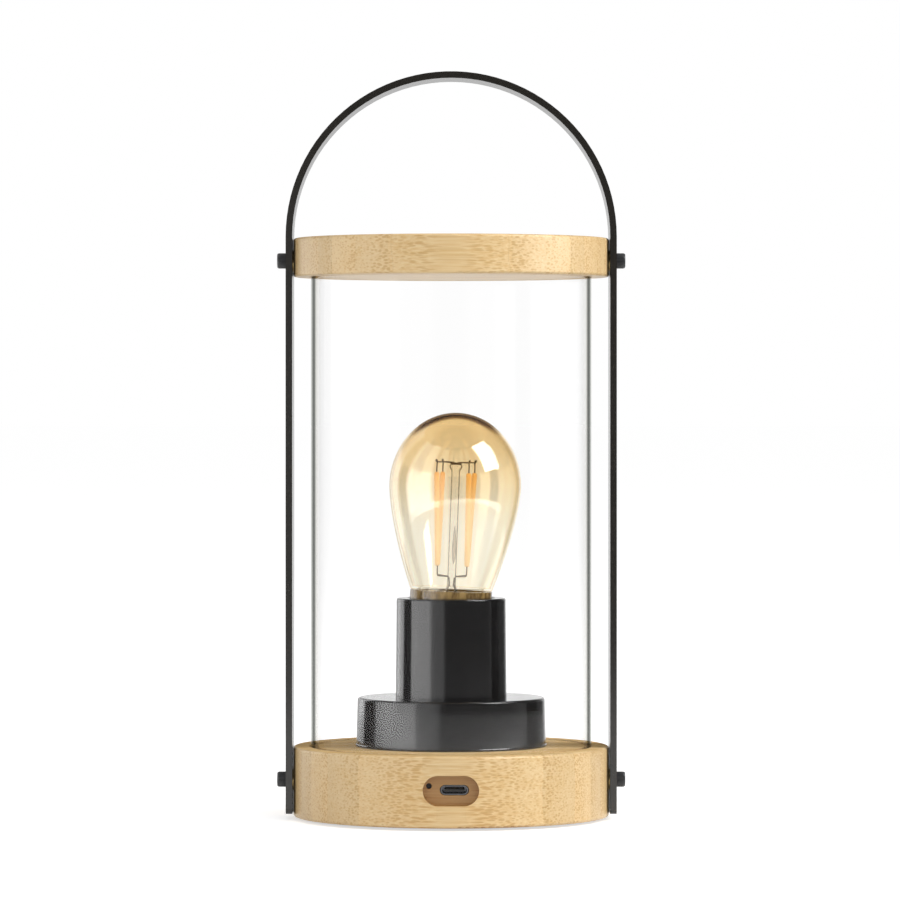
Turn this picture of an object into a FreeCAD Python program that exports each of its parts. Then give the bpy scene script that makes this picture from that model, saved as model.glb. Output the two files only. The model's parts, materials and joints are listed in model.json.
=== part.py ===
"""Rechargeable lantern table lamp with a bamboo base and lid, a glass cylinder, a steel
strap handle and an E27 filament bulb in a moulded holder.

Frame: the lamp stands on z = 0, its axis is Z, and the charging port faces -Y.
Millimetres throughout."""

import FreeCAD, Part
import math
import os
import re

import Sketcher

Vector = FreeCAD.Vector
Rotation = FreeCAD.Rotation
Placement = FreeCAD.Placement

doc = FreeCAD.newDocument("lantern_lamp")

# ------------------------------------------------------------------ driving dimensions
SIZES = {
    # wooden base and lid
    "foot_height": 1.0,  # how far the rubber feet stand out below the wood
    "overshoot": 1.0,  # how far cuts run past the face they leave through
    "shank_gap": 0.2,  # round a screw's shank in a through hole
    "head_gap": 0.15,  # round a head or flange in its counterbore
    "base_radius": 55.4,
    "base_height": 24.5,
    "edge_round": 0.8,
    "web_thickness": 6.0,  # wood left over the cavity in the base
    "cavity_wall": 11.4,  # wood round the cavity in the base
    "cable_hole_radius": 9.0,
    "lid_thickness": 13.5,
    # glass cylinder and its grooves
    "glass_margin": 6.1,  # wood outside the glass
    "glass_wall": 2.0,
    "glass_shown": 164.5,  # height of glass between base and lid
    "groove_depth": 3.0,
    "groove_gap": 0.3,
    "seal_thickness": 0.8,
    "seal_gap": 0.1,
    # strap handle and its screws
    "strap_gap": 0.1,  # between the strap and the wood
    "strap_thickness": 2.3,
    "strap_width": 22.4,
    "strap_tail": 1.2,  # height of the strap's ends over the wood's underside
    "strap_corner": 2.0,
    "arch_lift": 0.3,  # height of the arch's centre over the lid
    "lower_screw_height": 12.7,  # over the wood's underside
    "upper_screw_height": 5.7,  # over the lid's underside
    "screw_radius": 1.5,
    "screw_length": 10.0,
    "head_radius": 2.7,
    "head_height": 3.3,
    "head_chamfer": 0.4,
    "screw_point": 0.3,
    "socket_radius": 1.44,  # hexagon socket, over its corners
    "socket_depth": 1.6,
    "insert_radius": 2.3,
    "insert_length": 7.5,
    "insert_flange_radius": 3.7,
    "insert_sink": 0.25,  # depth of the flange's counterbore
    "thread_gap": 0.05,
    # charging port in the front of the base
    "port_height": 12.8,  # over the wood's underside
    "port_offset": 1.1,
    "port_width": 10.0,
    "port_slot": 3.6,
    "port_web": 2.4,  # wood between the recess and the cavity
    "recess_offset": -0.1,
    "recess_width": 19.2,
    "recess_height": 10.4,
    "recess_depth": 4.8,
    "usb_width": 9.4,
    "usb_height": 3.2,
    "usb_wall": 0.35,
    "usb_length": 7.3,
    "usb_inset": 0.1,
    "tongue_width": 6.7,
    "tongue_thickness": 0.75,
    "tongue_inset": 0.6,
    "led_offset": -7.6,
    "led_height": 14.2,  # over the wood's underside
    "led_hole_radius": 1.0,
    "led_gap": 0.15,
    "led_inset": 0.8,  # how deep the lens sits in its hole
    "nose_gap": 0.3,  # between the board's front edge and the wood
    "spacer_half_width": 1.7,
    "spacer_depth": 3.0,
    "spacer_over": 1.6,  # height of the spacer over the lens's centre
    # underside: cover, feet and fasteners
    "cover_margin": 5.4,  # wood outside the cover
    "cover_gap": 0.3,
    "cover_thickness": 2.2,
    "cover_sink": 0.3,  # cover's face above the wood's underside
    "cover_chamfer": 0.5,
    "cover_screw_inset": 2.8,
    "counterbore": 1.3,
    "small_screw_radius": 1.0,
    "small_head_radius": 1.9,
    "small_head_height": 1.1,
    "small_screw_length": 7.0,
    "foot_radius": 5.0,
    "foot_inset": 14.0,  # from the cover's edge to a foot's centre
    "foot_sink": 0.5,
    "foot_gap": 0.2,
    "foot_chamfer": 0.5,
    # circuit board on its posts
    "board_thickness": 1.6,
    "board_half_width": 20.0,
    "board_inset": 6.0,  # from the cavity's wall to the board's wide part
    "board_depth": 18.0,
    "tongue_left": 10.0,
    "tongue_right": 8.0,
    "board_gap": 0.4,
    "post_radius": 3.0,
    "post_x": 15.5,
    "post_inset": 7.0,
    "board_screw_length": 6.0,
    # push button and switch
    "button_inset": 8.0,
    "button_radius": 6.0,
    "button_gap": 0.3,
    "button_sink": 0.2,
    "button_flange": 1.4,
    "button_flange_height": 1.0,
    "button_float": 0.1,
    "button_travel": 1.0,
    "button_dish": 0.5,
    "button_dish_rim": 1.5,
    "button_land": 1.0,
    "button_chamfer": 0.3,
    "plunger_radius": 1.6,
    "plunger_gap": 0.25,
    "plunger_chamfer": 0.3,
    "plunger_room": 0.3,  # left over the plunger when the button is pressed
    "switch_side": 8.0,
    "switch_height": 4.2,
    "switch_roof": 0.6,
    # battery
    "cell_room": 14.0,  # from each end of the cell to the cavity's wall
    "cell_width": 34.0,
    "cell_height": 8.5,
    "cell_gap": 5.0,  # between the board and the cell
    "cell_round": 2.5,
    "pad_thickness": 0.8,
    "pad_inset": 5.0,
    "plug_x": 16.0,
    "plug_inset": 14.5,
    "plug_length": 5.0,
    "plug_width": 6.0,
    "plug_height": 4.6,
    "lead_radius": 0.55,
    "lead_pitch": 2.4,
    "lead_inset": 4.5,  # from the board's back edge to the lamp's leads
    "lead_stub": 2.6,
    "lead_under": 2.2,  # from the web's underside to the lamp's leads
    "lead_lean": 2.0,
    "lead_turn": 4.0,
    "lead_climb": 3.0,
    "cell_lead_offset": 7.0,
    "cell_lead_reach": 8.0,
    "cell_lead_return": 2.0,
    # lamp holder
    "foot_flare_radius": 33.5,
    "flare_height": 0.6,
    "flare_slope": 0.3,
    "holder_radius": 33.3,
    "holder_top_radius": 32.85,
    "holder_height": 17.1,
    "holder_wall": 2.2,
    "holder_plate": 2.5,
    "holder_round": 1.0,
    "boss_radius": 3.5,
    "boss_circle": 27.3,
    "boss_end": 2.0,  # plastic left over a boss's pilot hole
    "holder_screw_grip": 8.0,
    "holder_head_height": 1.9,
    "barrel_radius": 19.5,
    "barrel_top_radius": 19.15,
    "barrel_height": 34.8,
    "barrel_bore": 15.2,
    "barrel_round": 0.7,
    "spigot_radius": 18.6,
    "spigot_gap": 0.2,
    "core_flange_radius": 22.0,
    "core_flange": 3.5,
    "core_end": 1.5,  # left over the core's drillings
    "core_gap": 0.3,
    "core_screw_circle": 16.9,
    "core_screw_radius": 1.1,
    "core_head_radius": 2.1,
    "core_head_height": 1.6,
    "core_screw_length": 11.0,
    "pilot_end": 0.5,  # room past a screw's end
    "shell_radius": 14.0,
    "shell_wall": 0.4,
    "shell_inset": 4.4,  # below the barrel's mouth
    "shell_lip": 4.0,
    "contact_rise": 3.95,  # centre contact over the core
    "leaf_width": 5.0,
    "leaf_left": 8.5,
    "leaf_fold": 3.5,
    "leaf_crown": 1.0,
    "leaf_right": 5.0,
    "leaf_droop": 0.4,
    "terminal_x": 5.5,
    "terminal_thickness": 0.8,
    "terminal_screw_y": 5.5,
    "terminal_screw_short": 4.4,  # by how much it is shorter than the core is tall
    "clamp_half": 2.0,
    "clamp_end": 2.2,
    # bulb, measured from the top of its collar
    "bulb_lean": 2.2,  # degrees, the glass stands a little askew in its cap
    "collar_rise": 2.5,  # collar above the barrel's mouth
    "collar_radius": 14.4,
    "collar_height": 5.0,
    "collar_wall": 0.8,
    "collar_lip": 1.2,
    "collar_gap": 0.3,
    "neck_radius": 12.2,
    "neck_length": 6.0,
    "shoulder_radius": 14.5,
    "shoulder_rise": 0.5,
    "shoulder_step": 0.2,
    "shoulder_edge": 0.3,
    "equator_radius": 23.2,
    "equator_rise": 36.6,
    "dome_height": 25.9,
    "bulb_wall": 0.7,
    "cap_radius": 13.1,
    "cap_wall": 0.4,
    "cap_top": 1.8,  # depth of the cap's rim under the collar's top
    "cap_length": 22.2,
    "cap_cone": 3.0,
    "insulator_height": 3.4,
    "insulator_radius": 9.0,
    "tip_radius": 4.8,
    "tip_height": 1.4,
    "tip_gap": 0.15,
    "stem_radius": 1.5,
    "stem_top": 44.5,
    "stem_gap": 0.05,
    "stem_rim": 0.6,
    "throat_radius": 4.9,
    "throat_drop": 1.0,
    "swell": 0.9,
    "swell_rise": 2.2,
    "rod_rise": 4.2,
    "stem_button": 0.7,
    "stem_button_height": 1.2,
    "filament_radius": 0.95,
    "filament_top": 40.8,
    "filament_bottom": 8.2,
    "filament_top_circle": 8.1,
    "filament_low_circle": 7.3,
    "filament_top_turn": 34.5,
    "filament_low_turn": 45.0,
    "wire_radius": 0.3,
    "wire_gap": 0.02,
    "frame_rise": 45.4,
    "cross_rise": 5.0,
}

# Places and heights that several pieces share, each worked out from the sizes above.
LEVELS = {
    "cavity_radius": "base_radius - cavity_wall",
    "glass_radius": "base_radius - glass_margin",
    "cover_radius": "base_radius - cover_margin",
    "cover_screw_circle": "cover_radius - cover_screw_inset",
    "foot_circle": "cover_radius - foot_inset",
    "board_front": "cavity_radius - board_inset",
    "board_back": "board_front - board_depth",
    "post_y": "board_front - post_inset",
    "button_y": "board_front - button_inset",
    "plug_y": "board_front - plug_inset",
    "cell_length": "2 * (cavity_radius - cell_room)",
    "cell_y": "cell_width / 2 + cell_gap - board_back",
    "wood_bottom": "foot_height",
    "base_top": "foot_height + base_height",
    "lid_bottom": "base_top + glass_shown",
    "lid_top": "lid_bottom + lid_thickness",
    "arch_centre": "lid_top + arch_lift",
    "strap_inner": "base_radius + strap_gap",
    "strap_outer": "strap_inner + strap_thickness",
    "strap_end": "wood_bottom + strap_tail",
    "groove_outer": "glass_radius + groove_gap",
    "groove_inner": "glass_radius - glass_wall - groove_gap",
    "glass_bottom": "base_top - groove_depth + seal_thickness",
    "glass_top": "lid_bottom + groove_depth - seal_thickness",
    "lower_screw": "wood_bottom + lower_screw_height",
    "upper_screw": "lid_bottom + upper_screw_height",
    "cover_bottom": "wood_bottom + cover_sink",
    "cover_top": "cover_bottom + cover_thickness",
    "port_centre": "wood_bottom + port_height",
    "led_centre": "wood_bottom + led_height",
    "board_top": "port_centre - usb_height / 2",
    "board_bottom": "board_top - board_thickness",
    "recess_floor": "base_radius - recess_depth",
    "port_back": "recess_floor - port_web",
    "switch_bottom": "board_bottom - switch_height",
    "button_bottom": "cover_bottom + button_sink",
    "flange_bottom": "cover_top + button_float",
    "flange_top": "flange_bottom + button_flange_height",
    "plate_top": "base_top + holder_height",
    "plate_bottom": "plate_top - holder_plate",
    "core_bottom": "plate_bottom - core_flange",
    "barrel_top": "plate_top + barrel_height",
    "collar_top": "barrel_top + collar_rise",
    "cap_bottom": "collar_top - cap_top - cap_length",
    "insulator_bottom": "cap_bottom - insulator_height",
    "tip_bottom": "insulator_bottom - tip_height",
    "core_top": "tip_bottom - tip_gap - contact_rise",
    "core_rise": "core_top - plate_bottom",
    "shell_height": "barrel_top - shell_inset - core_top",
    "terminal_screw_length": "core_top - core_bottom - terminal_screw_short",
    "terminal_bottom": "core_bottom - terminal_thickness",
    "cell_bottom": "cover_top + pad_thickness",
}

sheet = doc.addObject("Spreadsheet::Sheet", "Dims")
for row, (alias, size) in enumerate(SIZES.items(), start=1):
    sheet.set("A%d" % row, alias)
    sheet.set("B%d" % row, str(size))
    sheet.setAlias("B%d" % row, alias)
for row, (alias, rule) in enumerate(LEVELS.items(), start=1):
    sheet.set("D%d" % row, alias)
    sheet.set("E%d" % row, "=" + rule)
    sheet.setAlias("E%d" % row, alias)
doc.recompute()

NAMES = re.compile(r"\b(%s)\b" % "|".join([*SIZES, *LEVELS]))


def bound(rule):
    """A rule in the sheet's aliases, written as a FreeCAD expression."""
    return NAMES.sub(r"Dims.\1", str(rule))


def size(rule):
    """The number that a rule gives now."""
    return float(sheet.evalExpression(bound(rule)))


# ---------------------------------------------------------------------- building blocks
def new_body(label, x="0", y="0", z="0"):
    """An empty body whose origin lies at a place given by rules."""
    body = doc.addObject("PartDesign::Body", label)
    body.Label = label
    for axis, rule in zip("xyz", (x, y, z)):
        body.setExpression("Placement.Base." + axis, bound(rule))
    return body


def plane_sketch(body, name, role, offset="0"):
    """An empty sketch on an origin plane of the body, moved along the plane's normal."""
    sketch = body.newObject("Sketcher::SketchObject", name)
    plane = [f for f in body.Origin.OriginFeatures if f.Role == role][0]
    sketch.AttachmentSupport = (plane, [""])
    sketch.MapMode = "FlatFace"
    sketch.setExpression("AttachmentOffset.Base.z", bound(offset))
    return sketch


def pin_level(sketch, kind, element, point, rule):
    """Binds one coordinate of a point, DistanceX or DistanceY from the sketch's origin."""
    index = sketch.addConstraint(Sketcher.Constraint(kind, -1, 1, element, point, size(rule)))
    sketch.setExpression("Constraints[%d]" % index, bound(rule))


def pin_point(sketch, element, point, x, y):
    pin_level(sketch, "DistanceX", element, point, x)
    pin_level(sketch, "DistanceY", element, point, y)


def bind_radius(sketch, element, rule):
    index = sketch.addConstraint(Sketcher.Constraint("Radius", element, size(rule)))
    sketch.setExpression("Constraints[%d]" % index, bound(rule))


def outline(body, name, role, corners, offset="0"):
    """A closed outline of straight lines through corners given by rules."""
    sketch = plane_sketch(body, name, role, offset)
    places = [Vector(size(x), size(y), 0) for x, y in corners]
    count = len(places)
    for i in range(count):
        sketch.addGeometry(Part.LineSegment(places[i], places[(i + 1) % count]), False)
    for i in range(count):
        sketch.addConstraint(Sketcher.Constraint("Coincident", i, 2, (i + 1) % count, 1))
    for i, (x, y) in enumerate(corners):
        pin_point(sketch, i, 1, x, y)
    return sketch


def circles(body, name, role, rings, offset="0"):
    """Circles given by rules for centre and radius."""
    sketch = plane_sketch(body, name, role, offset)
    for i, (x, y, radius) in enumerate(rings):
        centre = Vector(size(x), size(y), 0)
        sketch.addGeometry(Part.Circle(centre, Vector(0, 0, 1), size(radius)), False)
        pin_point(sketch, i, 3, x, y)
        bind_radius(sketch, i, radius)
    return sketch


def obround(body, name, role, x, y, width, height, offset="0"):
    """A slot with round ends, lying along the sketch's X."""
    sketch = plane_sketch(body, name, role, offset)
    radius = "(%s) / 2" % height
    reach = "((%s) - (%s)) / 2" % (width, height)
    right = "(%s) + %s" % (x, reach)
    left = "(%s) - %s" % (x, reach)
    over, under = "(%s) + %s" % (y, radius), "(%s) - %s" % (y, radius)
    normal = Vector(0, 0, 1)
    quarter = math.pi / 2
    for centre, start in ((right, -quarter), (left, quarter)):
        circle = Part.Circle(Vector(size(centre), size(y), 0), normal, size(radius))
        sketch.addGeometry(Part.ArcOfCircle(circle, start, start + math.pi), False)
    for level in (over, under):
        ends = Vector(size(left), size(level), 0), Vector(size(right), size(level), 0)
        sketch.addGeometry(Part.LineSegment(*ends), False)
    for one, end, two, other in ((0, 2, 2, 2), (2, 1, 1, 1), (1, 2, 3, 1), (3, 2, 0, 1)):
        sketch.addConstraint(Sketcher.Constraint("Coincident", one, end, two, other))
    for element, centre in ((0, right), (1, left)):
        pin_point(sketch, element, 3, centre, y)
        pin_level(sketch, "DistanceX", element, 1, centre)
        pin_level(sketch, "DistanceX", element, 2, centre)
    bind_radius(sketch, 0, radius)
    bind_radius(sketch, 1, radius)
    return sketch


def check_cut(feature, base_volume):
    if feature.Shape.Volume >= base_volume - 1e-6:
        raise RuntimeError(feature.Name + " cuts nothing")


def revolve(body, sketch, cut=False):
    """Turns a sketch on the XZ plane once round the body's Z axis."""
    before = 0 if body.Tip is None else body.Tip.Shape.Volume
    kind = "PartDesign::Groove" if cut else "PartDesign::Revolution"
    feature = body.newObject(kind, sketch.Name + ("_groove" if cut else "_turned"))
    feature.Profile = sketch
    feature.ReferenceAxis = (sketch, ["V_Axis"])
    feature.Angle = 360
    doc.recompute()
    if cut:
        check_cut(feature, before)
    return feature


def pad(body, sketch, length, symmetric=False, reverse=False):
    feature = body.newObject("PartDesign::Pad", sketch.Name + "_pad")
    feature.Profile = sketch
    feature.Reversed = reverse
    feature.SideType = "Symmetric" if symmetric else "One side"
    feature.setExpression("Length", bound(length))
    doc.recompute()
    return feature


def pocket(body, sketch, length, symmetric=False, reverse=False):
    before = body.Tip.Shape.Volume
    feature = body.newObject("PartDesign::Pocket", sketch.Name + "_cut")
    feature.Profile = sketch
    feature.Reversed = reverse
    feature.SideType = "Symmetric" if symmetric else "One side"
    feature.setExpression("Length", bound(length))
    doc.recompute()
    check_cut(feature, before)
    return feature


def around(body, feature, count):
    """Repeats a feature round the body's Z axis."""
    pattern = body.newObject("PartDesign::PolarPattern", feature.Name + "_ring")
    pattern.Originals = [feature]
    pattern.Axis = ([f for f in body.Origin.OriginFeatures if f.Role == "Z_Axis"][0], [""])
    pattern.Angle = 360
    pattern.Occurrences = count
    body.Tip = pattern
    doc.recompute()
    return pattern


def fillet(body, name, radius, base, picked):
    feature = body.newObject("PartDesign::Fillet", name)
    feature.Base = (base, picked)
    feature.setExpression("Radius", bound(radius))
    doc.recompute()
    return feature


def round_edges(body, name, radius, chosen):
    """Rounds the circular edges whose (radius, height) is in a list of rules."""
    base = body.Tip
    wanted = [(size(r), size(z)) for r, z in chosen]
    picked = []
    for i, edge in enumerate(base.Shape.Edges, start=1):
        if not isinstance(edge.Curve, Part.Circle):
            continue
        spot = (edge.Curve.Radius, edge.Curve.Center.z)
        if any(math.hypot(spot[0] - r, spot[1] - z) < 0.01 for r, z in wanted):
            picked.append("Edge%d" % i)
    if len(picked) < len(wanted):
        raise RuntimeError(name + " finds no edge to round")
    return fillet(body, name, radius, base, picked)


def round_straight_edges(body, name, radius, chosen):
    """Rounds the straight edges whose two ends pass a test."""
    base = body.Tip
    picked = []
    for i, edge in enumerate(base.Shape.Edges, start=1):
        ends = [vertex.Point for vertex in edge.Vertexes]
        if len(ends) == 2 and chosen(*ends):
            picked.append("Edge%d" % i)
    return fillet(body, name, radius, base, picked)


def turned(label, corners, z="0"):
    """A body made by turning one outline; corners are (radius, height) rules."""
    body = new_body(label, z=z)
    revolve(body, outline(body, label + "_outline", "XZ_Plane", corners))
    return body


def block(body, name, x, y, z, half_x, half_y, height):
    """A pad over a rectangle centred on x, y that starts at height z."""
    corners = [
        ("(%s) %s (%s)" % (x, sx, half_x), "(%s) %s (%s)" % (y, sy, half_y))
        for sx, sy in (("-", "-"), ("+", "-"), ("+", "+"), ("-", "+"))
    ]
    return pad(body, outline(body, name, "XY_Plane", corners, z), height)


def group(label, single, places):
    """Copies of one body as separate solids; a place is x, y, z, turn axis and angle."""
    links = []
    for i, (x, y, z, axis, angle) in enumerate(places, start=1):
        link = doc.addObject("App::Link", "%s_%d" % (label, i))
        link.LinkedObject = single
        link.Placement = Placement(Vector(), Rotation(axis, angle))
        for letter, rule in zip("xyz", (x, y, z)):
            link.setExpression("Placement.Base." + letter, bound(rule))
        links.append(link)
    compound = doc.addObject("Part::Compound", label)
    compound.Label = label
    compound.Links = links
    doc.recompute()
    return compound


def ring_places(circle, count, first, z):
    """Places for a group, spread evenly on a circle round the axis."""
    spots = []
    for i in range(count):
        angle = first + 360.0 * i / count
        x = "(%s) * cos(%g deg)" % (circle, angle)
        y = "(%s) * sin(%g deg)" % (circle, angle)
        spots.append((x, y, z, Z_AXIS, 0))
    return spots


X_AXIS, Y_AXIS, Z_AXIS = Vector(1, 0, 0), Vector(0, 1, 0), Vector(0, 0, 1)
PARTS = []
HEAD_SIDE, HEAD_FLAT = 0.6, 0.7  # a pan head's straight side and flat end, as shares
TIP_FLAT, TIP_SHOULDER = 0.45, 0.85  # shares of the bulb's tip radius
PEAR_POWER = 1.5  # how slowly the bulb's lower half leaves its widest circle
CURVE_STEPS = 7
BEND_SHARE = 0.45  # share of a wire's shorter run that a bend takes up


def keep(*objects):
    """Marks finished sub-parts, each of which becomes one file."""
    PARTS.extend(objects)


def lean_with_bulb(thing):
    """Tilts a piece of the bulb about the top of its collar, towards +X."""
    thing.Placement = Placement(Vector(), Rotation(Y_AXIS, 1))
    thing.setExpression("Placement.Base.z", bound("collar_top"))
    thing.setExpression("Placement.Rotation.Angle", bound("bulb_lean"))


# ------------------------------------------------------------------------- wooden base
def make_base():
    """Turned puck, open underneath, with the glass groove, port recess and drillings."""
    base = turned(
        "base_body",
        [
            ("cable_hole_radius", "base_height - web_thickness"),
            ("cavity_radius", "base_height - web_thickness"),
            ("cavity_radius", "cover_sink + cover_thickness"),
            ("cover_radius + cover_gap", "cover_sink + cover_thickness"),
            ("cover_radius + cover_gap", "0"),
            ("base_radius", "0"),
            ("base_radius", "base_height"),
            ("groove_outer", "base_height"),
            ("groove_outer", "base_height - groove_depth"),
            ("groove_inner", "base_height - groove_depth"),
            ("groove_inner", "base_height"),
            ("cable_hole_radius", "base_height"),
        ],
        z="wood_bottom",
    )
    rims = [("base_radius", "0"), ("base_radius", "base_height")]
    round_edges(base, "base_rims", "edge_round", rims)

    recess = obround(
        base, "port_recess", "XZ_Plane", "recess_offset", "port_height",
        "recess_width", "recess_height", "recess_floor",
    )
    pocket(base, recess, "recess_depth + overshoot", reverse=True)
    slot = obround(
        base, "port_slot", "XZ_Plane", "port_offset", "port_height",
        "port_width", "port_slot", "port_back - overshoot",
    )
    pocket(base, slot, "port_web + 2 * overshoot", reverse=True)
    window = circles(
        base, "led_hole", "XZ_Plane", [("led_offset", "led_height", "led_hole_radius")],
        "port_back - overshoot",
    )
    pocket(base, window, "port_web + 2 * overshoot", reverse=True)
    relief = outline(
        base, "board_relief", "XY_Plane",
        [
            ("-tongue_left - board_gap", "-port_back"),
            ("tongue_right + board_gap", "-port_back"),
            ("tongue_right + board_gap", "-board_front"),
            ("-tongue_left - board_gap", "-board_front"),
        ],
        "cover_sink + cover_thickness",
    )
    depth = "base_height - web_thickness - cover_sink - cover_thickness"
    pocket(base, relief, depth, reverse=True)

    drill_for_inserts(base, "lower_screw_height", "cavity_radius - overshoot")

    web_hole = circles(
        base, "holder_hole", "XY_Plane", [("0", "boss_circle", "screw_radius + shank_gap")],
        "base_height - web_thickness - overshoot",
    )
    around(base, pocket(base, web_hole, "web_thickness + 2 * overshoot", reverse=True), 3)
    pilot = circles(
        base, "cover_pilot", "XY_Plane",
        [("cover_screw_circle * cos(45 deg)", "cover_screw_circle * sin(45 deg)",
          "small_screw_radius + thread_gap")],
        "cover_sink + cover_thickness",
    )
    around(base, pocket(base, pilot, "small_screw_length", reverse=True), 4)
    keep(base)


def drill_for_inserts(body, height, depth_at):
    """Two opposite holes along X for the threaded inserts, counterbored for the flange."""
    for side, reverse in (("", True), ("-", False)):
        word = "right" if reverse else "left"
        bore = circles(body, "%s_insert_hole_%s" % (body.Name, word), "YZ_Plane",
                       [("0", height, "insert_radius")], "%s(%s)" % (side, depth_at))
        pocket(body, bore, "base_radius + overshoot - (%s)" % depth_at, reverse=reverse)
        seat = circles(body, "%s_insert_seat_%s" % (body.Name, word), "YZ_Plane",
                       [("0", height, "insert_flange_radius + head_gap")],
                       "%s(base_radius - insert_sink)" % side)
        pocket(body, seat, "insert_sink + overshoot", reverse=reverse)


# --------------------------------------------------------------------------- wooden lid
def make_lid():
    lid = turned(
        "top_disc",
        [
            ("0", "0"),
            ("groove_inner", "0"),
            ("groove_inner", "groove_depth"),
            ("groove_outer", "groove_depth"),
            ("groove_outer", "0"),
            ("base_radius", "0"),
            ("base_radius", "lid_thickness"),
            ("0", "lid_thickness"),
        ],
        z="lid_bottom",
    )
    rims = [("base_radius", "0"), ("base_radius", "lid_thickness")]
    round_edges(lid, "lid_rims", "edge_round", rims)
    drill_for_inserts(lid, "upper_screw_height", "base_radius - insert_sink - screw_length")
    keep(lid)


# --------------------------------------------------------------------- glass and seals
def make_glass():
    height = "glass_top - glass_bottom"
    glass = turned(
        "glass_cylinder",
        [
            ("glass_radius - glass_wall", "0"),
            ("glass_radius", "0"),
            ("glass_radius", height),
            ("glass_radius - glass_wall", height),
        ],
        z="glass_bottom",
    )
    keep(glass)
    for label, z in (
        ("lower_seal", "base_top - groove_depth"),
        ("upper_seal", "glass_top"),
    ):
        inner, outer = "groove_inner + seal_gap", "groove_outer - seal_gap"
        corners = [(inner, "0"), (outer, "0"), (outer, "seal_thickness"), (inner, "seal_thickness")]
        keep(turned(label, corners, z=z))


# --------------------------------------------------------------------------- the handle
def make_strap():
    """Flat steel strip bent into a tall arch, drilled twice on each side."""
    strap = new_body("handle_strap")
    sketch = plane_sketch(strap, "strap_outline", "XZ_Plane")
    centre = Vector(0, size("arch_centre"), 0)
    outer, inner = size("strap_outer"), size("strap_inner")
    top, end = size("arch_centre"), size("strap_end")
    for radius in (outer, inner):
        circle = Part.Circle(centre, Vector(0, 0, 1), radius)
        sketch.addGeometry(Part.ArcOfCircle(circle, 0, math.pi), False)
    lines = [
        ((-outer, top), (-outer, end)),
        ((-outer, end), (-inner, end)),
        ((-inner, end), (-inner, top)),
        ((inner, top), (inner, end)),
        ((inner, end), (outer, end)),
        ((outer, end), (outer, top)),
    ]
    for start, finish in lines:
        sketch.addGeometry(Part.LineSegment(Vector(*start, 0), Vector(*finish, 0)), False)
    joints = [
        (0, 2, 2, 1), (2, 2, 3, 1), (3, 2, 4, 1), (4, 2, 1, 2),
        (1, 1, 5, 1), (5, 2, 6, 1), (6, 2, 7, 1), (7, 2, 0, 1),
    ]
    for one, point, two, other in joints:
        sketch.addConstraint(Sketcher.Constraint("Coincident", one, point, two, other))
    for element, radius in ((0, "strap_outer"), (1, "strap_inner")):
        pin_point(sketch, element, 3, "0", "arch_centre")
        pin_level(sketch, "DistanceY", element, 1, "arch_centre")
        pin_level(sketch, "DistanceY", element, 2, "arch_centre")
        bind_radius(sketch, element, radius)
    corners = ((3, "-strap_outer"), (4, "-strap_inner"), (6, "strap_inner"), (7, "strap_outer"))
    for element, x in corners:
        pin_point(sketch, element, 1, x, "strap_end")
    pad(strap, sketch, "strap_width", symmetric=True)
    holes = circles(strap, "strap_holes", "YZ_Plane", [
        ("0", "lower_screw", "screw_radius + shank_gap"),
        ("0", "upper_screw", "screw_radius + shank_gap"),
    ])
    pocket(strap, holes, "2 * (strap_outer + overshoot)", symmetric=True)
    round_straight_edges(
        strap, "strap_corners", "strap_corner",
        lambda a, b: abs(a.z - end) < 0.01 and abs(b.z - end) < 0.01 and abs(a.y - b.y) < 0.01,
    )
    keep(strap)


def make_strap_fasteners():
    """Socket-head screws and flanged threaded inserts, two pairs on each side."""
    screw = turned(
        "one_strap_screw",
        [
            ("0", "-screw_length"),
            ("screw_radius - screw_point", "-screw_length"),
            ("screw_radius", "screw_point - screw_length"),
            ("screw_radius", "0"),
            ("head_radius", "0"),
            ("head_radius", "head_height - head_chamfer"),
            ("head_radius - head_chamfer", "head_height"),
            ("0", "head_height"),
        ],
    )
    corners = [
        ("socket_radius * cos(%d deg)" % angle, "socket_radius * sin(%d deg)" % angle)
        for angle in range(0, 360, 60)
    ]
    socket = outline(screw, "hex_socket", "XY_Plane", corners, "head_height - socket_depth")
    pocket(screw, socket, "socket_depth + overshoot", reverse=True)

    bore = "screw_radius + thread_gap"
    flange = "insert_sink + strap_gap"
    insert = turned(
        "one_strap_insert",
        [
            (bore, "-insert_length"),
            ("insert_radius", "-insert_length"),
            ("insert_radius", "0"),
            ("insert_flange_radius", "0"),
            ("insert_flange_radius", flange),
            (bore, flange),
        ],
    )
    right = [("strap_outer", "0", z, Y_AXIS, 90) for z in ("lower_screw", "upper_screw")]
    left = [("-strap_outer", "0", z, Y_AXIS, -90) for z in ("lower_screw", "upper_screw")]
    keep(group("strap_screws", screw, right + left))
    seat = "base_radius - insert_sink"
    right = [(seat, "0", z, Y_AXIS, 90) for z in ("lower_screw", "upper_screw")]
    left = [("-(%s)" % seat, "0", z, Y_AXIS, -90) for z in ("lower_screw", "upper_screw")]
    keep(group("strap_inserts", insert, right + left))


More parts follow.
